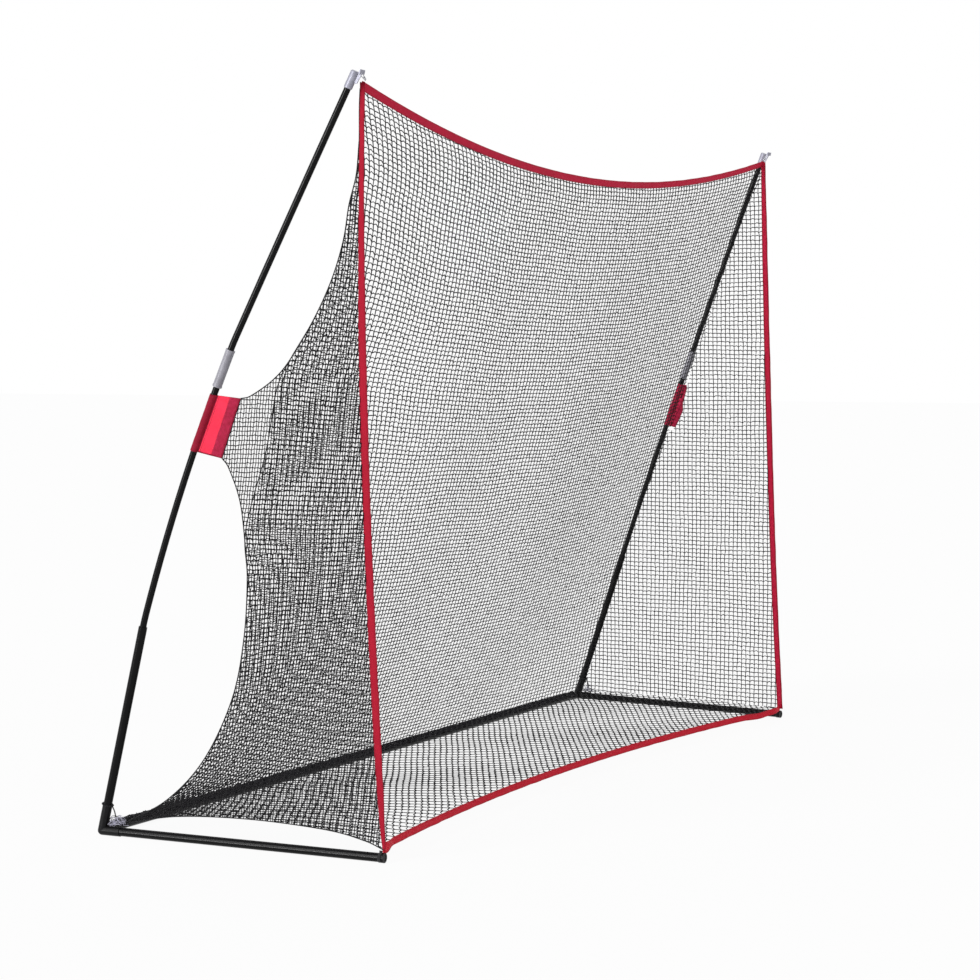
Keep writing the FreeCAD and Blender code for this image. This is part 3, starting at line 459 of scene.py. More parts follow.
def smooth(points, step):
    # An even line through the points.
    p = np.asarray(points, float)
    p = np.vstack([2 * p[0] - p[1], p, 2 * p[-1] - p[-2]])
    t = np.linspace(0, 1, 24, endpoint=False)[:, None]
    out = []
    for a, b, c, d in zip(p[:-3], p[1:-2], p[2:-1], p[3:]):
        out.append(0.5 * (2 * b + (c - a) * t + (2 * a - 5 * b + 4 * c - d) * t ** 2
                          + (3 * b - a - 3 * c + d) * t ** 3))
    path = np.vstack(out + [p[-2:-1]])
    run = runAlong(path)
    at = np.linspace(0, run[-1], max(3, int(math.ceil(run[-1] / step)) + 1))
    return np.stack([np.interp(at, run, path[:, k]) for k in range(path.shape[1])], 1)


def surfaceArea(obj):
    area = np.zeros(len(obj.data.polygons), np.float32)
    obj.data.polygons.foreach_get("area", area)
    return float(area.sum())


def sheetPiece(obj, nodeName, flat, held):
    # Folded cloth has a skin on both sides. A net's area is its strands' skin.
    skin, whole = surfaceArea(obj) / (2 if held == "folded" else 1), flat[0] * flat[1]
    worn(obj, nodeName)


def inPolygon(points, outline):
    # Even-odd test of (..., 2) points against a closed outline.
    x, y = points[..., 0], points[..., 1]
    inside = np.zeros(x.shape, bool)
    for p, q in zip(outline, np.roll(outline, -1, axis=0)):
        if p[1] != q[1]:
            crosses = (p[1] > y) != (q[1] > y)
            inside ^= crosses & (x < (q[0] - p[0]) * (y - p[1]) / (q[1] - p[1]) + p[0])
    return inside


def clipped(good, bad, inside):
    # The last point inside the cloth on the way from good to bad.
    low, high = np.zeros(len(good)), np.ones(len(good))
    for _ in range(12):
        mid = (low + high) / 2
        ok = inside(good + (bad - good) * mid[:, None])
        low, high = np.where(ok, mid, low), np.where(ok, high, mid)
    return good + (bad - good) * low[:, None]


def netting(name, net, flat, linked, inside, place, only=None):
    # Rows run along the second axis of flat, links join each row to the next one. Strands
    # that leave the cloth are cut at its outline; only picks the knots of one strip.
    rng = np.random.default_rng(net["seed"] + 50)
    ok = inside(flat)
    mine = np.ones(ok.shape, bool) if only is None else only(flat)
    number = np.cumsum(ok.ravel()).reshape(ok.shape) - 1
    knot, nextKnot, row, nextRow = np.s_[:, :-1], np.s_[:, 1:], np.s_[:-1], np.s_[1:]
    whole = ok[knot] & ok[nextKnot] & mine[knot]
    verts = [flat[ok]]
    lines = [np.stack([number[knot][whole], number[nextKnot][whole]], 1)]
    thick = [net["strand"] * rng.uniform(0.82, 1.18, ok.sum())]

    def addPairs(starts, ends, radius):
        pair = np.stack([starts, ends], 1).reshape(-1, 2)
        lines.append(np.arange(len(pair)).reshape(-1, 2) + sum(len(v) for v in verts))
        verts.append(pair)
        thick.append(np.full(len(pair), radius))

    for p, q, live, radius in ((knot, nextKnot, mine[knot], net["strand"]),
                               (row, nextRow, (mine & linked)[row], net["link"])):
        if p is row:
            both = live & ok[p] & ok[q]
            addPairs(flat[p][both], flat[q][both], radius)
        one = live & (ok[p] ^ ok[q])
        good = np.where(ok[p][..., None], flat[p], flat[q])[one]
        bad = np.where(ok[p][..., None], flat[q], flat[p])[one]
        if len(good):
            addPairs(good, clipped(good, bad, inside), radius)
    verts, lines, thick = np.concatenate(verts), np.concatenate(lines), np.concatenate(thick)
    used, lines = np.unique(lines, return_inverse=True)
    return grow(name, "strand", place(verts[used]), lines.reshape(-1, 2), "net_cord",
                {"Sides": 4}, thick[used])


def waved(net, u, w, rng):
    # The small unevenness of knitted net: jitter at each knot, and slow drift.
    u = u + rng.normal(0, net["jitter"], u.shape)
    w = w + rng.normal(0, net["jitter"], w.shape)
    for _ in range(4):
        f, g = rng.uniform(4, 14, 2) * rng.choice([-1, 1], 2)
        phase = rng.uniform(0, 6.28, 2)
        u, w = (u + net["drift"] * np.sin(f * u + g * w + phase[0]),
                w + net["drift"] * np.sin(g * u - f * w + phase[1]))
    return u, w


print("helpers ready")

# Nets. pitch runs along a row, row is the rise to the next one, wave the zigzag.
nets = {
    "near": dict(seed=3, pitch=0.00865, row=0.0124, lean=0.0014, wave=0.0022, jitter=0.0009,
                 drift=0.0011, strand=0.00138, link=0.00138),
    "far": dict(seed=5, pitch=0.00915, row=0.0161, lean=0.0, wave=0.0026, jitter=0.0008,
                drift=0.0009, strand=0.00162, link=0.00162),
    "back": dict(seed=11, pitch=0.01085, rows=145, lean=-0.0027, wave=0.0042, jitter=0.0011,
                 drift=0.0010, strand=0.00160, link=0.00160, bands=4),
    "floor": dict(seed=7, along=(0.01925, 0.01125), across=(-0.0120, 0.0157), wave=0.0034,
                  jitter=0.0006, drift=0.0012, strand=0.00160, link=0.00110),
}
tabs = {-1: [(0.4077, 1.0843), (0.4693, 1.2525)], 1: [(0.4484, 1.0953), (0.4957, 1.2366)]}
nearLow = [(0.070, 0.024), (0.218, 0.105), (0.341, 0.229), (0.434, 0.4055), (0.474, 0.577),
           (0.4865, 0.746), (0.4793, 0.858)]
nearHigh = [(0.624, 1.359), (0.697, 1.4685), (0.752, 1.577), (0.787, 1.684), (0.803, 1.780),
            (tapeS(1.86) - 0.016, 1.860), (tapeS(1.95) - 0.008, 1.950)]
farLow = [(0.030, 0.024), (0.149, 0.394), (0.273, 0.7205)]
farHigh = [(0.531, 1.3551), (0.593, 1.5099), (0.711, 1.8152), (0.768, 1.960)]
topEnd = [(tapeS(2.06) - 0.010, 2.060)]
# The side net's rear edge below and above the sleeve, the back net's seam, and the arch
# of the lower edge.
edges = {
    -1: dict(low=nearLow + [(0.464, 0.969), (0.4292, 1.058), tabs[-1][0]],
             high=[tabs[-1][1], (0.501, 1.2598), (0.571, 1.304)] + nearHigh,
             seam=nearLow + [(0.4991, 0.951), (0.5382, 1.071), (0.5578, 1.149), (0.5839, 1.282)]
             + nearHigh + topEnd,
             arch=[(0.070, 0.024), (0.25, 0.060), (0.49, 0.072), (0.73, 0.063), (0.85, 0.043),
                   (tape["footS"], 0.022)]),
    1: dict(low=farLow + [(0.385, 1.020), tabs[1][0]], high=[tabs[1][1]] + farHigh + topEnd,
            seam=farLow + [(0.4046, 1.0409), (0.4676, 1.196)] + farHigh + topEnd,
            arch=[(0.030, 0.020), (0.49, 0.030), (tape["footS"], 0.022)]),
}
for lines in edges.values():
    for key in lines:
        lines[key] = smooth(lines[key], 0.01)


def bySide(x, at, lines, key, value):
    # The left line's value where x is negative, the right one's elsewhere.
    left, right = [np.interp(at, lines[sign][:, key], lines[sign][:, value]) for sign in (-1, 1)]
    return np.where(x < 0, left, right)


# Side nets
sideNets = {"frontGap": 0.0095, "tall": 2.1, "wide": 1.3, "start": -0.30, "ripple": 0.002}
for sign, key in ((-1, "near"), (1, "far")):
    net, lines, nodeName = nets[key], edges[sign], "side_net_" + sides[sign]
    z = np.linspace(lines["high"][-1][1], tape["footZ"], 60)
    front = np.stack([tapeS(z) - sideNets["frontGap"], z], 1)
    outline = np.vstack([lines["low"], lines["high"], front, lines["arch"][::-1]])
    rng = np.random.default_rng(net["seed"])
    j, k = np.meshgrid(np.arange(int(sideNets["tall"] / net["row"])),
                       np.arange(int(sideNets["wide"] / net["pitch"])), indexing="ij")
    u = net["pitch"] * k + net["lean"] * j + sideNets["start"]
    w = net["row"] * (j + 0.5) + net["wave"] * (k % 2 - 0.5)
    flat = np.stack(waved(net, u, w, rng), -1)
    linked = np.ones(k.shape, bool) if sign < 0 else k % 2 == 0
    obj = netting(nodeName + "_mesh", net, flat, linked, lambda q: inPolygon(q, outline),
                  lambda q: onNet(sign, q[:, 0], q[:, 1],
                                  sideNets["ripple"] * np.sin(q[:, 1] * 5 + q[:, 0] * 7)))
    size = outline.max(0) - outline.min(0)
    sheetPiece(obj, nodeName, (float(size[0]), float(size[1])), "hung")
print("side nets")

# Cord round the near side net's free edge and along its arch.
edgeCord = {"radius": 0.0018, "seam": 0.0017, "lay": 0.012}
lines = edges[-1]
rim = [np.vstack([lines["low"], lines["high"]]), lines["arch"]]
obj = cordPiece("side_net_left_edge", [onNet(-1, q[:, 0], q[:, 1]) for q in rim], "edge_cord",
                edgeCord["radius"], edgeCord["lay"])
worn(obj)

# Back net: even rows from the rear bar to the top tape, drawn forward along both seams.
# belly is the hang behind a straight line, drop the gap under the top edge.
back = {"foot": 0.0345, "behind": 0.002, "belly": 0.065, "drop": 0.0215, "ripple": 0.004,
        "row": 0.0140, "columns": 310, "start": -1.30, "spreadFrom": -0.2, "spread": 0.29,
        "tall": 2.08, "margin": 0.0005, "half": (corners[1][0] - corners[-1][0]) / 2}
seams = {}
for sign in (-1, 1):
    points = onNet(sign, edges[sign]["seam"][:, 0], edges[sign]["seam"][:, 1])
    seams[sign] = points[np.argsort(points[:, 2])]


def placeBack(q):
    # p runs from -1 at the left seam to 1 at the right one, v from 0 at the foot to 1.
    p, v = np.clip(q[..., 0] / back["half"], -1, 1), q[..., 1]
    end = topEdge(p * back["half"] + (corners[1][0] + corners[-1][0]) / 2, back["drop"])
    z = back["foot"] + (end[..., 2] - back["foot"]) * v
    side = bySide(p, z, seams, 2, 1)
    start = base["rearY"] - back["behind"]
    hang = start + (end[..., 1] - start) * v - 4 * back["belly"] * v * (1 - v)
    near, last = np.abs(p) ** 2, v ** 30
    y = (side * near + hang * (1 - near)) * (1 - last) + end[..., 1] * last
    half = sideX(y) - inwardAt(sideS(y), z - base["axisZ"])
    x = p * (back["half"] + (half - back["half"]) * np.abs(p) ** 3)
    ripple = back["ripple"] * np.sin(9 * p + 3 * v) * np.sin(math.pi * v) * (1 - near)
    return np.stack([x, y + ripple, z], -1)


net = nets["back"]
rng = np.random.default_rng(net["seed"])
j, k = np.meshgrid(np.arange(net["rows"] + 2), np.arange(back["columns"]), indexing="ij")
u = net["pitch"] * k + net["lean"] * j + back["start"]
w = net["wave"] * (k % 2 - 0.5) + back["row"] * (j - 0.5)
u, w = waved(net, u, w, rng)
# The columns spread towards the near side, where the cloth is drawn forward.
past = np.maximum(back["spreadFrom"] - u, 0)
u = np.where(u > back["spreadFrom"], u,
             back["spreadFrom"] - (np.exp(back["spread"] * past) - 1) / back["spread"])
flat = np.stack([u, w / (back["row"] * net["rows"])], -1)
limit = back["half"] - back["margin"]
for band in range(net["bands"]):
    low, high = [-limit + 2 * limit * b / net["bands"] for b in (band, band + 1)]
    obj = netting("back_net_mesh_%d" % band, net, flat, k % 2 == 0,
                  lambda q: (np.abs(q[..., 0]) < limit) & (q[..., 1] > 0) & (q[..., 1] < 1),
                  placeBack, lambda q: (q[..., 0] >= low) & (q[..., 0] < high))
    sheetPiece(obj, "back_net", (2 * back["half"] / net["bands"], back["tall"]),
               "hung")
v = np.linspace(0, 1, 260)
obj = cordPiece("back_seam_left", [placeBack(np.stack([np.full(v.shape, -limit), v], -1))],
                "edge_cord", edgeCord["seam"], edgeCord["lay"])
worn(obj)
print("back net")

# Floor net and its hem
# The hem's line is a shallow curve that runs out to each foot from joinX on. dip and drop
# lower it beside the right foot, and it flares at the left one.
hem = {"y": -0.3337, "curve": 0.0625, "middle": -0.1238, "footX": 1.449, "footY": -0.4547,
       "joinX": 1.345, "z": 0.0392, "dip": 0.006, "dipX": 1.25, "drop": 0.004, "dropX": 1.38,
       "over": 0.07, "flareX": (-1.449, -1.432, -1.37), "flare": (1.45, 1.4, 1.0)}
floorNet = {"sag": 0.009, "wrinkle": 0.002, "rearGap": 0.004, "sideGap": 0.0015,
            "rows": 120, "columns": 150, "flat": (3.0, 0.86)}


def hemY(x):
    line = hem["y"] - hem["curve"] * (x - hem["middle"]) ** 2
    share = np.clip((np.abs(x) - hem["joinX"]) / (hem["footX"] - hem["joinX"]), 0, 1)
    share = share ** 2 * (3 - 2 * share)
    return line + (hem["footY"] - line) * share


def placeFloor(q):
    x, y = q[..., 0], q[..., 1]
    share = np.clip((base["rearY"] - y) / (base["rearY"] - hemY(x)), 0, 1)
    edge = np.clip(np.abs(x) / sideX(y), 0, 1)
    edgeZ = bySide(x, sideS(y), {sign: edges[sign]["arch"] for sign in edges}, 0, 1)
    # Drawn up towards both side nets, flat along the hem.
    held = 1 - share ** 6 * (1 - edge ** 10)
    z = (base["axisZ"] + tape["footZ"] + (edgeZ - tape["footZ"]) * edge ** 1.6 * held
         - floorNet["sag"] * np.sin(math.pi * share) * (1 - edge ** 4)
         + floorNet["wrinkle"] * np.sin(x * 7 + y * 5) * np.sin(math.pi * share))
    return np.stack([x, y, z], -1)


def insideFloor(q):
    x, y = q[..., 0], q[..., 1]
    return ((y > hemY(x)) & (y < base["rearY"] - floorNet["rearGap"])
            & (np.abs(x) < sideX(y) - floorNet["sideGap"]))


net = nets["floor"]
rng = np.random.default_rng(net["seed"])
along, across = np.array(net["along"]), np.array(net["across"])
j, k = np.meshgrid(np.arange(-floorNet["rows"], floorNet["rows"] + 1),
                   np.arange(-floorNet["columns"], floorNet["columns"] + 1), indexing="ij")
flat = along * k[..., None] + across * j[..., None]
flat = flat + unit([-along[1], along[0]]) * (net["wave"] * (k % 2 * 2 - 1))[..., None]
flat = np.stack(waved(net, flat[..., 0], flat[..., 1], rng), -1)
obj = netting("floor_net_mesh", net, flat, k % 2 == 0, insideFloor, placeFloor)
sheetPiece(obj, "floor_net", floorNet["flat"], "stretched")
print("floor net")

# Red tapes: cloth folded over the net's edge, a darker band and a row of thread along both
# sides. turn is the round of a fold, ridge the step beside a band, margin the thread's place.
tapes = {"thick": 0.0024, "edge": 0.0042, "margin": 0.0024, "turn": 0.0006, "ridge": 0.0008,
         "ripple": 0.0005, "uneven": 0.015, "pucker": 0.00012,
         "widths": {"top_tape": 0.0235, "hem_tape": 0.0225, "side_tape_left": 0.022,
                    "side_tape_right": 0.023},
         # Lighter copies of the tape red paint light on the top tape, the hem and the far side
         # tape's band.
         "looks": {"top_tape": ["red_top_painted_light", "red_top_painted_light"], "hem_tape": ["red_hem_painted_light", "red_hem_painted_light"],
                   "side_tape_left": ["red_tape", "red_edge"],
                   "side_tape_right": ["red_top_painted_light", "red_tape"]}}


def foldedTape(name, path, inward, normal, seed, narrow=1.0):
    # path runs along the tape's middle; inward points across it, away from the fold.
    rng = np.random.default_rng(seed)
    width = tapes["widths"][name]
    half, t, e = width / 2, tapes["thick"] / 2, tapes["edge"]
    turn, ridge = tapes["turn"], tapes["ridge"]
    x = np.array([-half, -half + turn, -half + e, -half + e + ridge, -half * 0.25, half * 0.25,
                  half - e - ridge, half - e, half - turn, half])
    lift = np.array([0.25, 0.85, 0.92, 1.0, 1.05, 1.05, 1.0, 0.92, 0.85, 0.55]) * t
    sx, sy = np.concatenate([x, x[::-1]]), np.concatenate([lift, -lift[::-1]])
    mats = np.array([1, 1, 1, 0, 0, 0, 1, 1, 1, 1] * 2)
    run = runAlong(path)
    waves = sum(rng.uniform(0.2, 0.5) * np.sin(run * rng.uniform(20, 90) + rng.uniform(0, 6))
                for _ in range(6))
    across = narrow * (1 + tapes["uneven"] * waves)
    rise = tapes["ripple"] * waves[:, None]
    pucker = rng.normal(0, tapes["pucker"], (len(path), len(sx)))
    rings = (path[:, None] + inward[:, None] * (sx * across[:, None])[..., None]
             + normal[:, None] * (sy + rise + pucker)[..., None])
    length = float(run[-1])
    sheetPiece(skinPiece(name + "_cloth", rings, mats, tapes["looks"][name]), name,
               (length, width), "folded")
    rows = [path + inward * (place * across)[:, None] + normal * (face * t + rise)
            for place in (-half + tapes["margin"], half - tapes["margin"]) for face in (1, -1)]
    stitchPiece(name + "_stitches", rows, seed)
    print(name, "length", round(length, 4))


x = np.linspace(corners[-1][0], corners[1][0], 366)
path = topEdge(x, tapes["widths"]["top_tape"] / 2)
inward = np.broadcast_to(bandDown, path.shape)
foldedTape("top_tape", path, inward, unit(np.cross(np.gradient(path, axis=0), inward)), 21)

x = np.linspace(-hem["footX"], hem["footX"], 366)
fall = (hem["dip"] * np.exp(-((x - hem["dipX"]) / hem["over"]) ** 2)
        + hem["drop"] * np.clip((x - hem["dropX"]) / hem["over"], 0, 1))
path = np.stack([x, hemY(x), hem["z"] - fall], 1)
tangent = unit(np.gradient(path, axis=0))
inward = unit(np.cross(np.cross(tangent, upward), tangent))
foldedTape("hem_tape", path, inward, unit(np.cross(tangent, inward)), 22,
           np.interp(x, hem["flareX"], hem["flare"]))

# Heights at which the side tapes change their width, and the width there as a share.
narrowing = {-1: ([0.02, 0.06, 0.15, 0.3, 1.2, 1.5, 1.8, 2.1],
                  [0.36, 0.62, 0.88, 1.02, 1.12, 0.98, 0.72, 0.70]),
             1: ([0.02, 1.2, 1.8, 2.1], [1.0, 1.1, 0.98, 0.80])}
for sign, side in sides.items():
    z = np.linspace(tape["footZ"], tape["cornerZ"][sign] - 0.004, 262)
    path = onNet(sign, tapeS(z), z)
    forward, out = sideFrame(sign)[1:]
    inward = unit(np.cross(out, unit(np.gradient(path, axis=0))))
    if np.dot(inward[0], forward) > 0:
        inward = -inward
    foldedTape("side_tape_" + side, path, inward, np.broadcast_to(out, path.shape), 23 + sign,
               np.interp(z, *narrowing[sign]))
print("tapes")

# Sleeves: cloth wrapped round the pole, its two layers sewn together towards the net's tab.
# reach is the width from the pole's axis and lift its slide along the pole, low to high.
sleeves = {
    -1: dict(low=(0.3171, 1.1030), lean=22.65, lift=(0.0176, 0.0246), at=[0, 0.5, 1],
             reach=[0.0908, 0.0868, 0.0829]),
    1: dict(low=(0.4082, 1.1007), lean=21.56, lift=(0.006, 0.006),
            at=[0, 0.2, 0.43, 0.59, 0.75, 0.92, 1.0],
            reach=[0.0394, 0.0440, 0.0466, 0.0356, 0.0330, 0.0314, 0.0240]),
}
# round and flap count the points round the pole and along each layer of the flap, rows are
# the places of the thread across the flap.
sleeve = {"long": 0.172, "rings": 44, "cloth": 0.0011, "gap": 0.0014, "slack": 0.0021,
          "flapFrom": 0.003, "swell": 0.5, "seam": 0.0002, "round": 25, "flap": 12,
          "band": 0.53, "rows": (0.06, 0.53, 0.95), "proud": 0.0006}


def leaning(degrees):
    # The directions up and across a line that leans to the front, each as (s, z).
    a = math.radians(degrees)
    return np.array([math.sin(a), math.cos(a)]), np.array([math.cos(a), -math.sin(a)])


def flapX(sign, t, share):
    # From beside the pole at 0 to the flap's edge at 1.
    start = tubes["pole"] + sleeve["slack"] + sleeve["flapFrom"]
    return start + (np.interp(t, sleeves[sign]["at"], sleeves[sign]["reach"]) - start) * share


def onSleeve(sign, t, x, y):
    # t runs up the pole from 0 to 1, x leads out from its axis and y across the cloth.
    cfg = sleeves[sign]
    up, out = leaning(cfg["lean"])
    lift = cfg["lift"][0] + (cfg["lift"][1] - cfg["lift"][0]) * t
    run = t * sleeve["long"] + lift * np.clip(x / flapX(sign, t, 1), 0, 1)
    return onSide(sign, cfg["low"][0] + up[0] * run + out[0] * x,
                  cfg["low"][1] + up[1] * run + out[1] * x, y)


count, outer = sleeve["flap"], tubes["pole"] + sleeve["slack"]
turn = math.asin(sleeve["gap"] / outer)
angle = np.linspace(turn, 2 * math.pi - turn, sleeve["round"])
share, none = np.linspace(1, 0, count), np.zeros(count)
swell = sleeve["gap"] * (1 + sleeve["swell"] * np.sin(math.pi * share))
# tongue runs from 0 beside the pole to 1 at the tab; round the pole it stays 0.
tongue = np.concatenate([share, 0 * angle, share[::-1]])
flatPart = np.concatenate([none + 1, 0 * angle, none + 1])
roundX = np.concatenate([none, outer * np.cos(angle), none])
sideY = np.concatenate([swell, outer * np.sin(angle), -swell[::-1]])
inner = 1 - sleeve["cloth"] / outer
innerY = sideY * inner
innerY[:count], innerY[-count:] = sleeve["seam"], -sleeve["seam"]
tongue, flatPart, roundX, sideY = [
    np.concatenate([a, b[::-1]]) for a, b in ((tongue, tongue), (flatPart, flatPart),
                                              (roundX, roundX * inner), (sideY, innerY))]
for sign, cfg in sleeves.items():
    rings = []
    for t in np.linspace(0, 1, sleeve["rings"]):
        x = np.where(flatPart > 0, flapX(sign, t, tongue), roundX)
        wobble = 0.0005 * math.sin(17 * t + sign) + 0.0004 * math.sin(41 * t)
        y = sideY * (1 + wobble / outer) + 0.0007 * np.sin(23 * t + x * 120) * tongue
        rings.append(onSleeve(sign, t, x, y))
    # Painted light and shade on one red cloth: the near sleeve's flap is bright with a painted
    # highlight. The cloth round the pole and the lowest ring get painted shade, and the flap by
    # the tab and the whole far sleeve, seen from behind, get darker painted shade.
    mats = np.full((sleeve["rings"] - 1, len(tongue)), 0 if sign < 0 else 2)
    if sign < 0:
        mats[:, flatPart < 1] = 1
        mats[:, tongue > sleeve["band"]] = 2
        mats[0] = 1
    wide, name = 2 * (float(np.mean(cfg["reach"])) + math.pi * outer), "pole_sleeve_" + sides[sign]
    sheetPiece(skinPiece(name + "_cloth", np.array(rings), mats,
                         ["red_cloth", "sleeve_red_painted_shade", "sleeve_wine_painted_shade"]),
               name, (sleeve["long"], wide), "folded")
    t = np.linspace(0.03, 0.97, 60)
    rows = [onSleeve(sign, t, flapX(sign, t, place), face * (sleeve["gap"] + sleeve["proud"]))
            for place in sleeve["rows"] for face in (1, -1)]
    stitchPiece(name + "_stitches", rows, 31 + sign)
print("sleeves")

# Loops and straps
hooks = {-1: (0.8319, 2.1369), 1: (0.8274, 2.1393)}  # s and z of each hook's tip
# hook and tape are the loop's radii at both ends, knot its widths along s, across and up.
loops = {"hook": 0.0051, "tape": 0.0029, "cord": 0.0013, "lay": 0.006, "ahead": 0.0145,
         "under": 0.006, "over": 0.0035, "knotDrop": 0.008, "knot": (0.0016, 0.0032, 0.0006)}
straps = {"width": 0.0098, "cloth": 0.0009, "ring": tubes["bar"] + 0.0008, "behind": 0.009,
          "crown": 0.0001, "ends": [(0.001, 0.0006), (-0.0015, 0.0007)]}
rearCord = {"high": 0.0785, "radius": 0.0019, "lay": 0.008, "clear": 0.0002,
            "lean": {-1: 13.5, 1: 20}, "tail": (0.014, 0.027)}
circle = np.linspace(0, 2 * math.pi, 41)
for sign, side in sides.items():
    s = hooks[sign][0] + loops["ahead"]
    top = np.array([hooks[sign][1] - loops["under"], 0.0])
    low = np.array([tape["cornerZ"][sign] + loops["over"], -sign * tape["inward"]])
    drop = unit(low - top)
    beside = np.array([-drop[1], drop[0]])
    half = np.linspace(0, math.pi, 13)
    bend = np.outer(np.cos(half), beside) - np.outer(np.sin(half), drop)
    ring = np.vstack([top + loops["hook"] * bend, low - loops["tape"] * bend])
    ring = np.vstack([ring, ring[:1]])
    t, (wide, across, high) = np.linspace(0, 2 * math.pi, 30), loops["knot"]
    knot = (low - drop * loops["knotDrop"] + np.outer(np.sin(t), beside * across)
            + np.outer(np.sin(2 * t), drop * high))
    paths = [smooth(onSide(sign, s, *ring.T), 0.001),
             onSide(sign, s + wide * np.cos(t), *knot.T)]
    worn(cordPiece("top_loop_%s_cord" % side, paths, "white_cord", loops["cord"],
                   loops["lay"], 0.001), "top_loop_" + side)

    # Webbing round the front end of the bar, drawn up to the net's corner.
    r, w, h = straps["ring"], straps["width"] / 2, straps["cloth"] / 2
    crown = h + straps["crown"]
    a, b = np.array([(-w, -h), (-w * 0.4, -crown), (w * 0.4, -h), (w, -h), (w, h), (w * 0.4, h),
                     (-w * 0.4, crown), (-w, h)]).T
    (up, n), (rise, m) = straps["ends"]
    line = np.vstack([np.stack([r * np.cos(circle), -r * np.sin(circle)], 1),
                      (r + up, n), (tape["footZ"] + rise, m)])
    along = unit(np.gradient(line, axis=0))
    rings = onSide(sign, tape["footS"] - straps["behind"] + a,
                   line[:, :1] + b * along[:, 1:], line[:, 1:] - b * along[:, :1])
    worn(skinPiece("front_strap_%s_web" % side, rings, np.zeros(8, int),
                   ["black_webbing"]), "front_strap_" + side)

    # Cord round the upright arm, its tail drawn down to the gathered net.
    up, out = leaning(rearCord["lean"][sign])
    centre = up * rearCord["high"]
    r = tubes["fitting"] + rearCord["radius"] + rearCord["clear"]
    ring = onSide(sign, *(centre + np.outer(r * np.cos(circle), out)).T, r * np.sin(circle))
    high = centre + out * r
    low = np.array([high[0] + rearCord["tail"][0], rearCord["tail"][1]])
    tail = np.array([high, high * 0.6 + low * 0.4 + [0.002, 0], low])
    tail = smooth(onSide(sign, *tail.T, [0, 0.001, 0]), 0.002)
    worn(cordPiece("rear_strap_%s_cord" % side, [ring, tail], "edge_cord",
                   rearCord["radius"], rearCord["lay"], 0.0015),
         "rear_strap_" + side)
print("loops and straps")

# Net gathered round the front and top of the rear bar, and the loose tufts at both corners.
# depth is the strands' distance from the bar's axis, start and limits their angles round it.
roll = dict(strands=40, depth=(0.0136, 0.0198), step=0.014, seed=41, radius=0.0009,
            start=(25, 112), limits=(10, 116), wander=0.004, swing=0.5)
rng = np.random.default_rng(roll["seed"])
rollLow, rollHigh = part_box("rear_hem_roll")
x = np.arange(rollLow[0], rollHigh[0], roll["step"])
paths = []
for _ in range(roll["strands"]):
    start = rng.uniform(*np.radians(roll["start"]))
    wobble = sum(rng.uniform(0.1, 0.3) * np.sin(x * rng.uniform(8, 60) + rng.uniform(0, 6.28))
                 for _ in range(4))
    r = np.clip(rng.uniform(*roll["depth"]) + roll["wander"] * wobble, *roll["depth"])
    a = np.clip(start + roll["swing"] * wobble, *np.radians(roll["limits"]))
    paths.append(np.stack([x, base["rearY"] - r * np.cos(a), base["axisZ"] + r * np.sin(a)], 1))
obj = looseStrands("rear_hem_roll_bundle", paths, "roll_cord", roll["radius"])
worn(obj, "rear_hem_roll")

# ends are the ranges of s and z at a strand's two ends, high that of its top.
tuft = dict(strands={-1: 34, 1: 16}, seed=43, radius=0.0007, lowest=0.0155, spread=0.012,
            ends=[(0.018, 0.045), (0.014, 0.030), (0.045, 0.088), (0.016, 0.034)],
            high=(0.018, 0.046))
for sign, side in sides.items():
    rng = np.random.default_rng(tuft["seed"] + sign)
    halves = {"dark": [], "pale": []}
    for i in range(tuft["strands"][sign]):
        s0, z0, s1, z1 = [rng.uniform(*span) for span in tuft["ends"]]
        high = rng.uniform(*tuft["high"])
        spread = rng.uniform(-tuft["spread"], tuft["spread"], 4)
        points = onSide(sign, [s0, s0 * 0.7 + s1 * 0.3, s0 * 0.3 + s1 * 0.7, s1],
                        [z0, high, high * 0.9, z1], spread)
        points[:, 2] = np.maximum(points[:, 2], base["axisZ"] + tuft["lowest"])
        halves["dark" if i % 3 == 0 else "pale"].append(smooth(points, 0.004))
    for word, material in (("dark", "net_cord"), ("pale", "pale_mesh")):
        worn(looseStrands("corner_tuft_%s_%s" % (side, word), halves[word], material,
                          tuft["radius"], 5))
print("gathered net")

# CAD nodes that stay get their finish.
slots = {"corner_fitting": "moulded_black", "front_plug": "moulded_black",
         "pole_bush": "moulded_black", "pole_coupler": "coupler_grey", "pole_cap": "cap_silver",
         "snap_button": "spring_steel", "clip_spring": "spring_steel"}
for name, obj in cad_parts.items():
    kind = next((s for n, s in slots.items() if name.startswith(n)), "painted_tube")
    for slot in obj.material_slots:
        slot.material = materials[kind]
    if not obj.material_slots:
        obj.data.materials.append(materials[kind])

# Floor, background and lights. Eyes and reflections see white; the object is lit more softly.
studio = {"world": 0.40, "floorWhite": 0.94, "floorTone": 0.95, "floorRough": 0.9, "half": 60}


def backdropShare(tree):
    path = node(tree, "ShaderNodeLightPath").outputs
    seen = math2(tree, "MAXIMUM", path["Is Camera Ray"], path["Is Glossy Ray"])
    return math2(tree, "MAXIMUM", seen, path["Is Transmission Ray"])


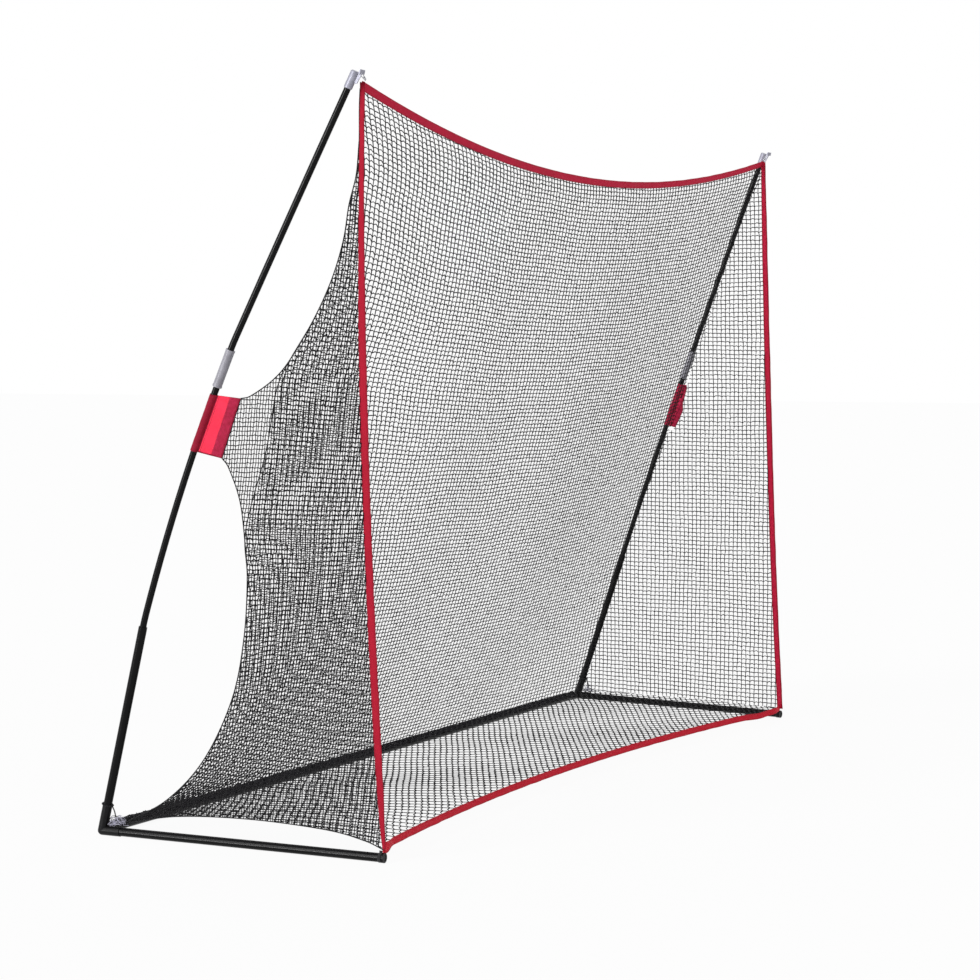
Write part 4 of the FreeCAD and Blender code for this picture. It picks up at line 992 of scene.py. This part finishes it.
floorMat = bpy.data.materials.new("floor_look")
floorMat.use_nodes = True
tree = floorMat.node_tree
shader = tree.nodes["Principled BSDF"]
feed(tree, shader, {"Base Color": (*[studio["floorTone"]] * 3, 1),
                    "Roughness": studio["floorRough"], "Specular IOR Level": 0.0})
glow = node(tree, "ShaderNodeEmission", {"Color": (1, 1, 1, 1), "Strength": 1.0})
blend = node(tree, "ShaderNodeMixShader", {
    "Fac": math2(tree, "MULTIPLY", backdropShare(tree), studio["floorWhite"]),
    1: shader.outputs["BSDF"], 2: glow.outputs["Emission"]})
feed(tree, tree.nodes["Material Output"], {"Surface": blend.outputs["Shader"]})
mesh = bpy.data.meshes.new("studio_floor")
mesh.from_pydata([(x * studio["half"], y * studio["half"], 0)
                  for x, y in ((-1, -1), (1, -1), (1, 1), (-1, 1))], [], [(0, 1, 2, 3)])
mesh.materials.append(floorMat)
floor = bpy.data.objects.new("studio_floor", mesh)
scene.collection.objects.link(floor)

world = bpy.data.worlds.new("studio")
scene.world = world
world.use_nodes = True
tree = world.node_tree
light = tree.nodes["Background"]
feed(tree, light, {"Color": (1, 1, 1, 1), "Strength": studio["world"]})
white = node(tree, "ShaderNodeBackground", {"Color": (1, 1, 1, 1), "Strength": 1.0})
blend = node(tree, "ShaderNodeMixShader", {"Fac": backdropShare(tree),
                                           1: light.outputs["Background"],
                                           2: white.outputs["Background"]})
feed(tree, tree.nodes["World Output"], {"Surface": blend.outputs["Shader"]})

right = Vector((math.cos(az), math.sin(az), 0))
lights = {"key": (away * 0.50 - right * 0.68 + Vector((0, 0, 0.54)), 20, 1.0),
          "side": (away * 0.60 - right * 0.80 + Vector((0, 0, 0.02)), 16, 1.9),
          "fill": (away * 3.0 + right * 3.5 + Vector((0, 0, 1.5)), 40, 0.35),
          "rim": (-away * 3.0 + right * 0.5 + Vector((0, 0, 3.5)), 40, 0.40)}
for name, (spot, wide, power) in lights.items():
    data = bpy.data.lights.new(name, "SUN")
    data.angle, data.energy = math.radians(wide), power
    lamp = bpy.data.objects.new(name, data)
    lamp.location = target + spot
    lamp.rotation_euler = (-spot).to_track_quat("-Z", "Y").to_euler()
    scene.collection.objects.link(lamp)

scene.view_settings.view_transform = "Standard"
total = sum(count for _, count in pieces)
print("pieces", len(pieces), "triangles", total, "largest", max(pieces, key=lambda p: p[1]))
bpy.context.view_layer.update()
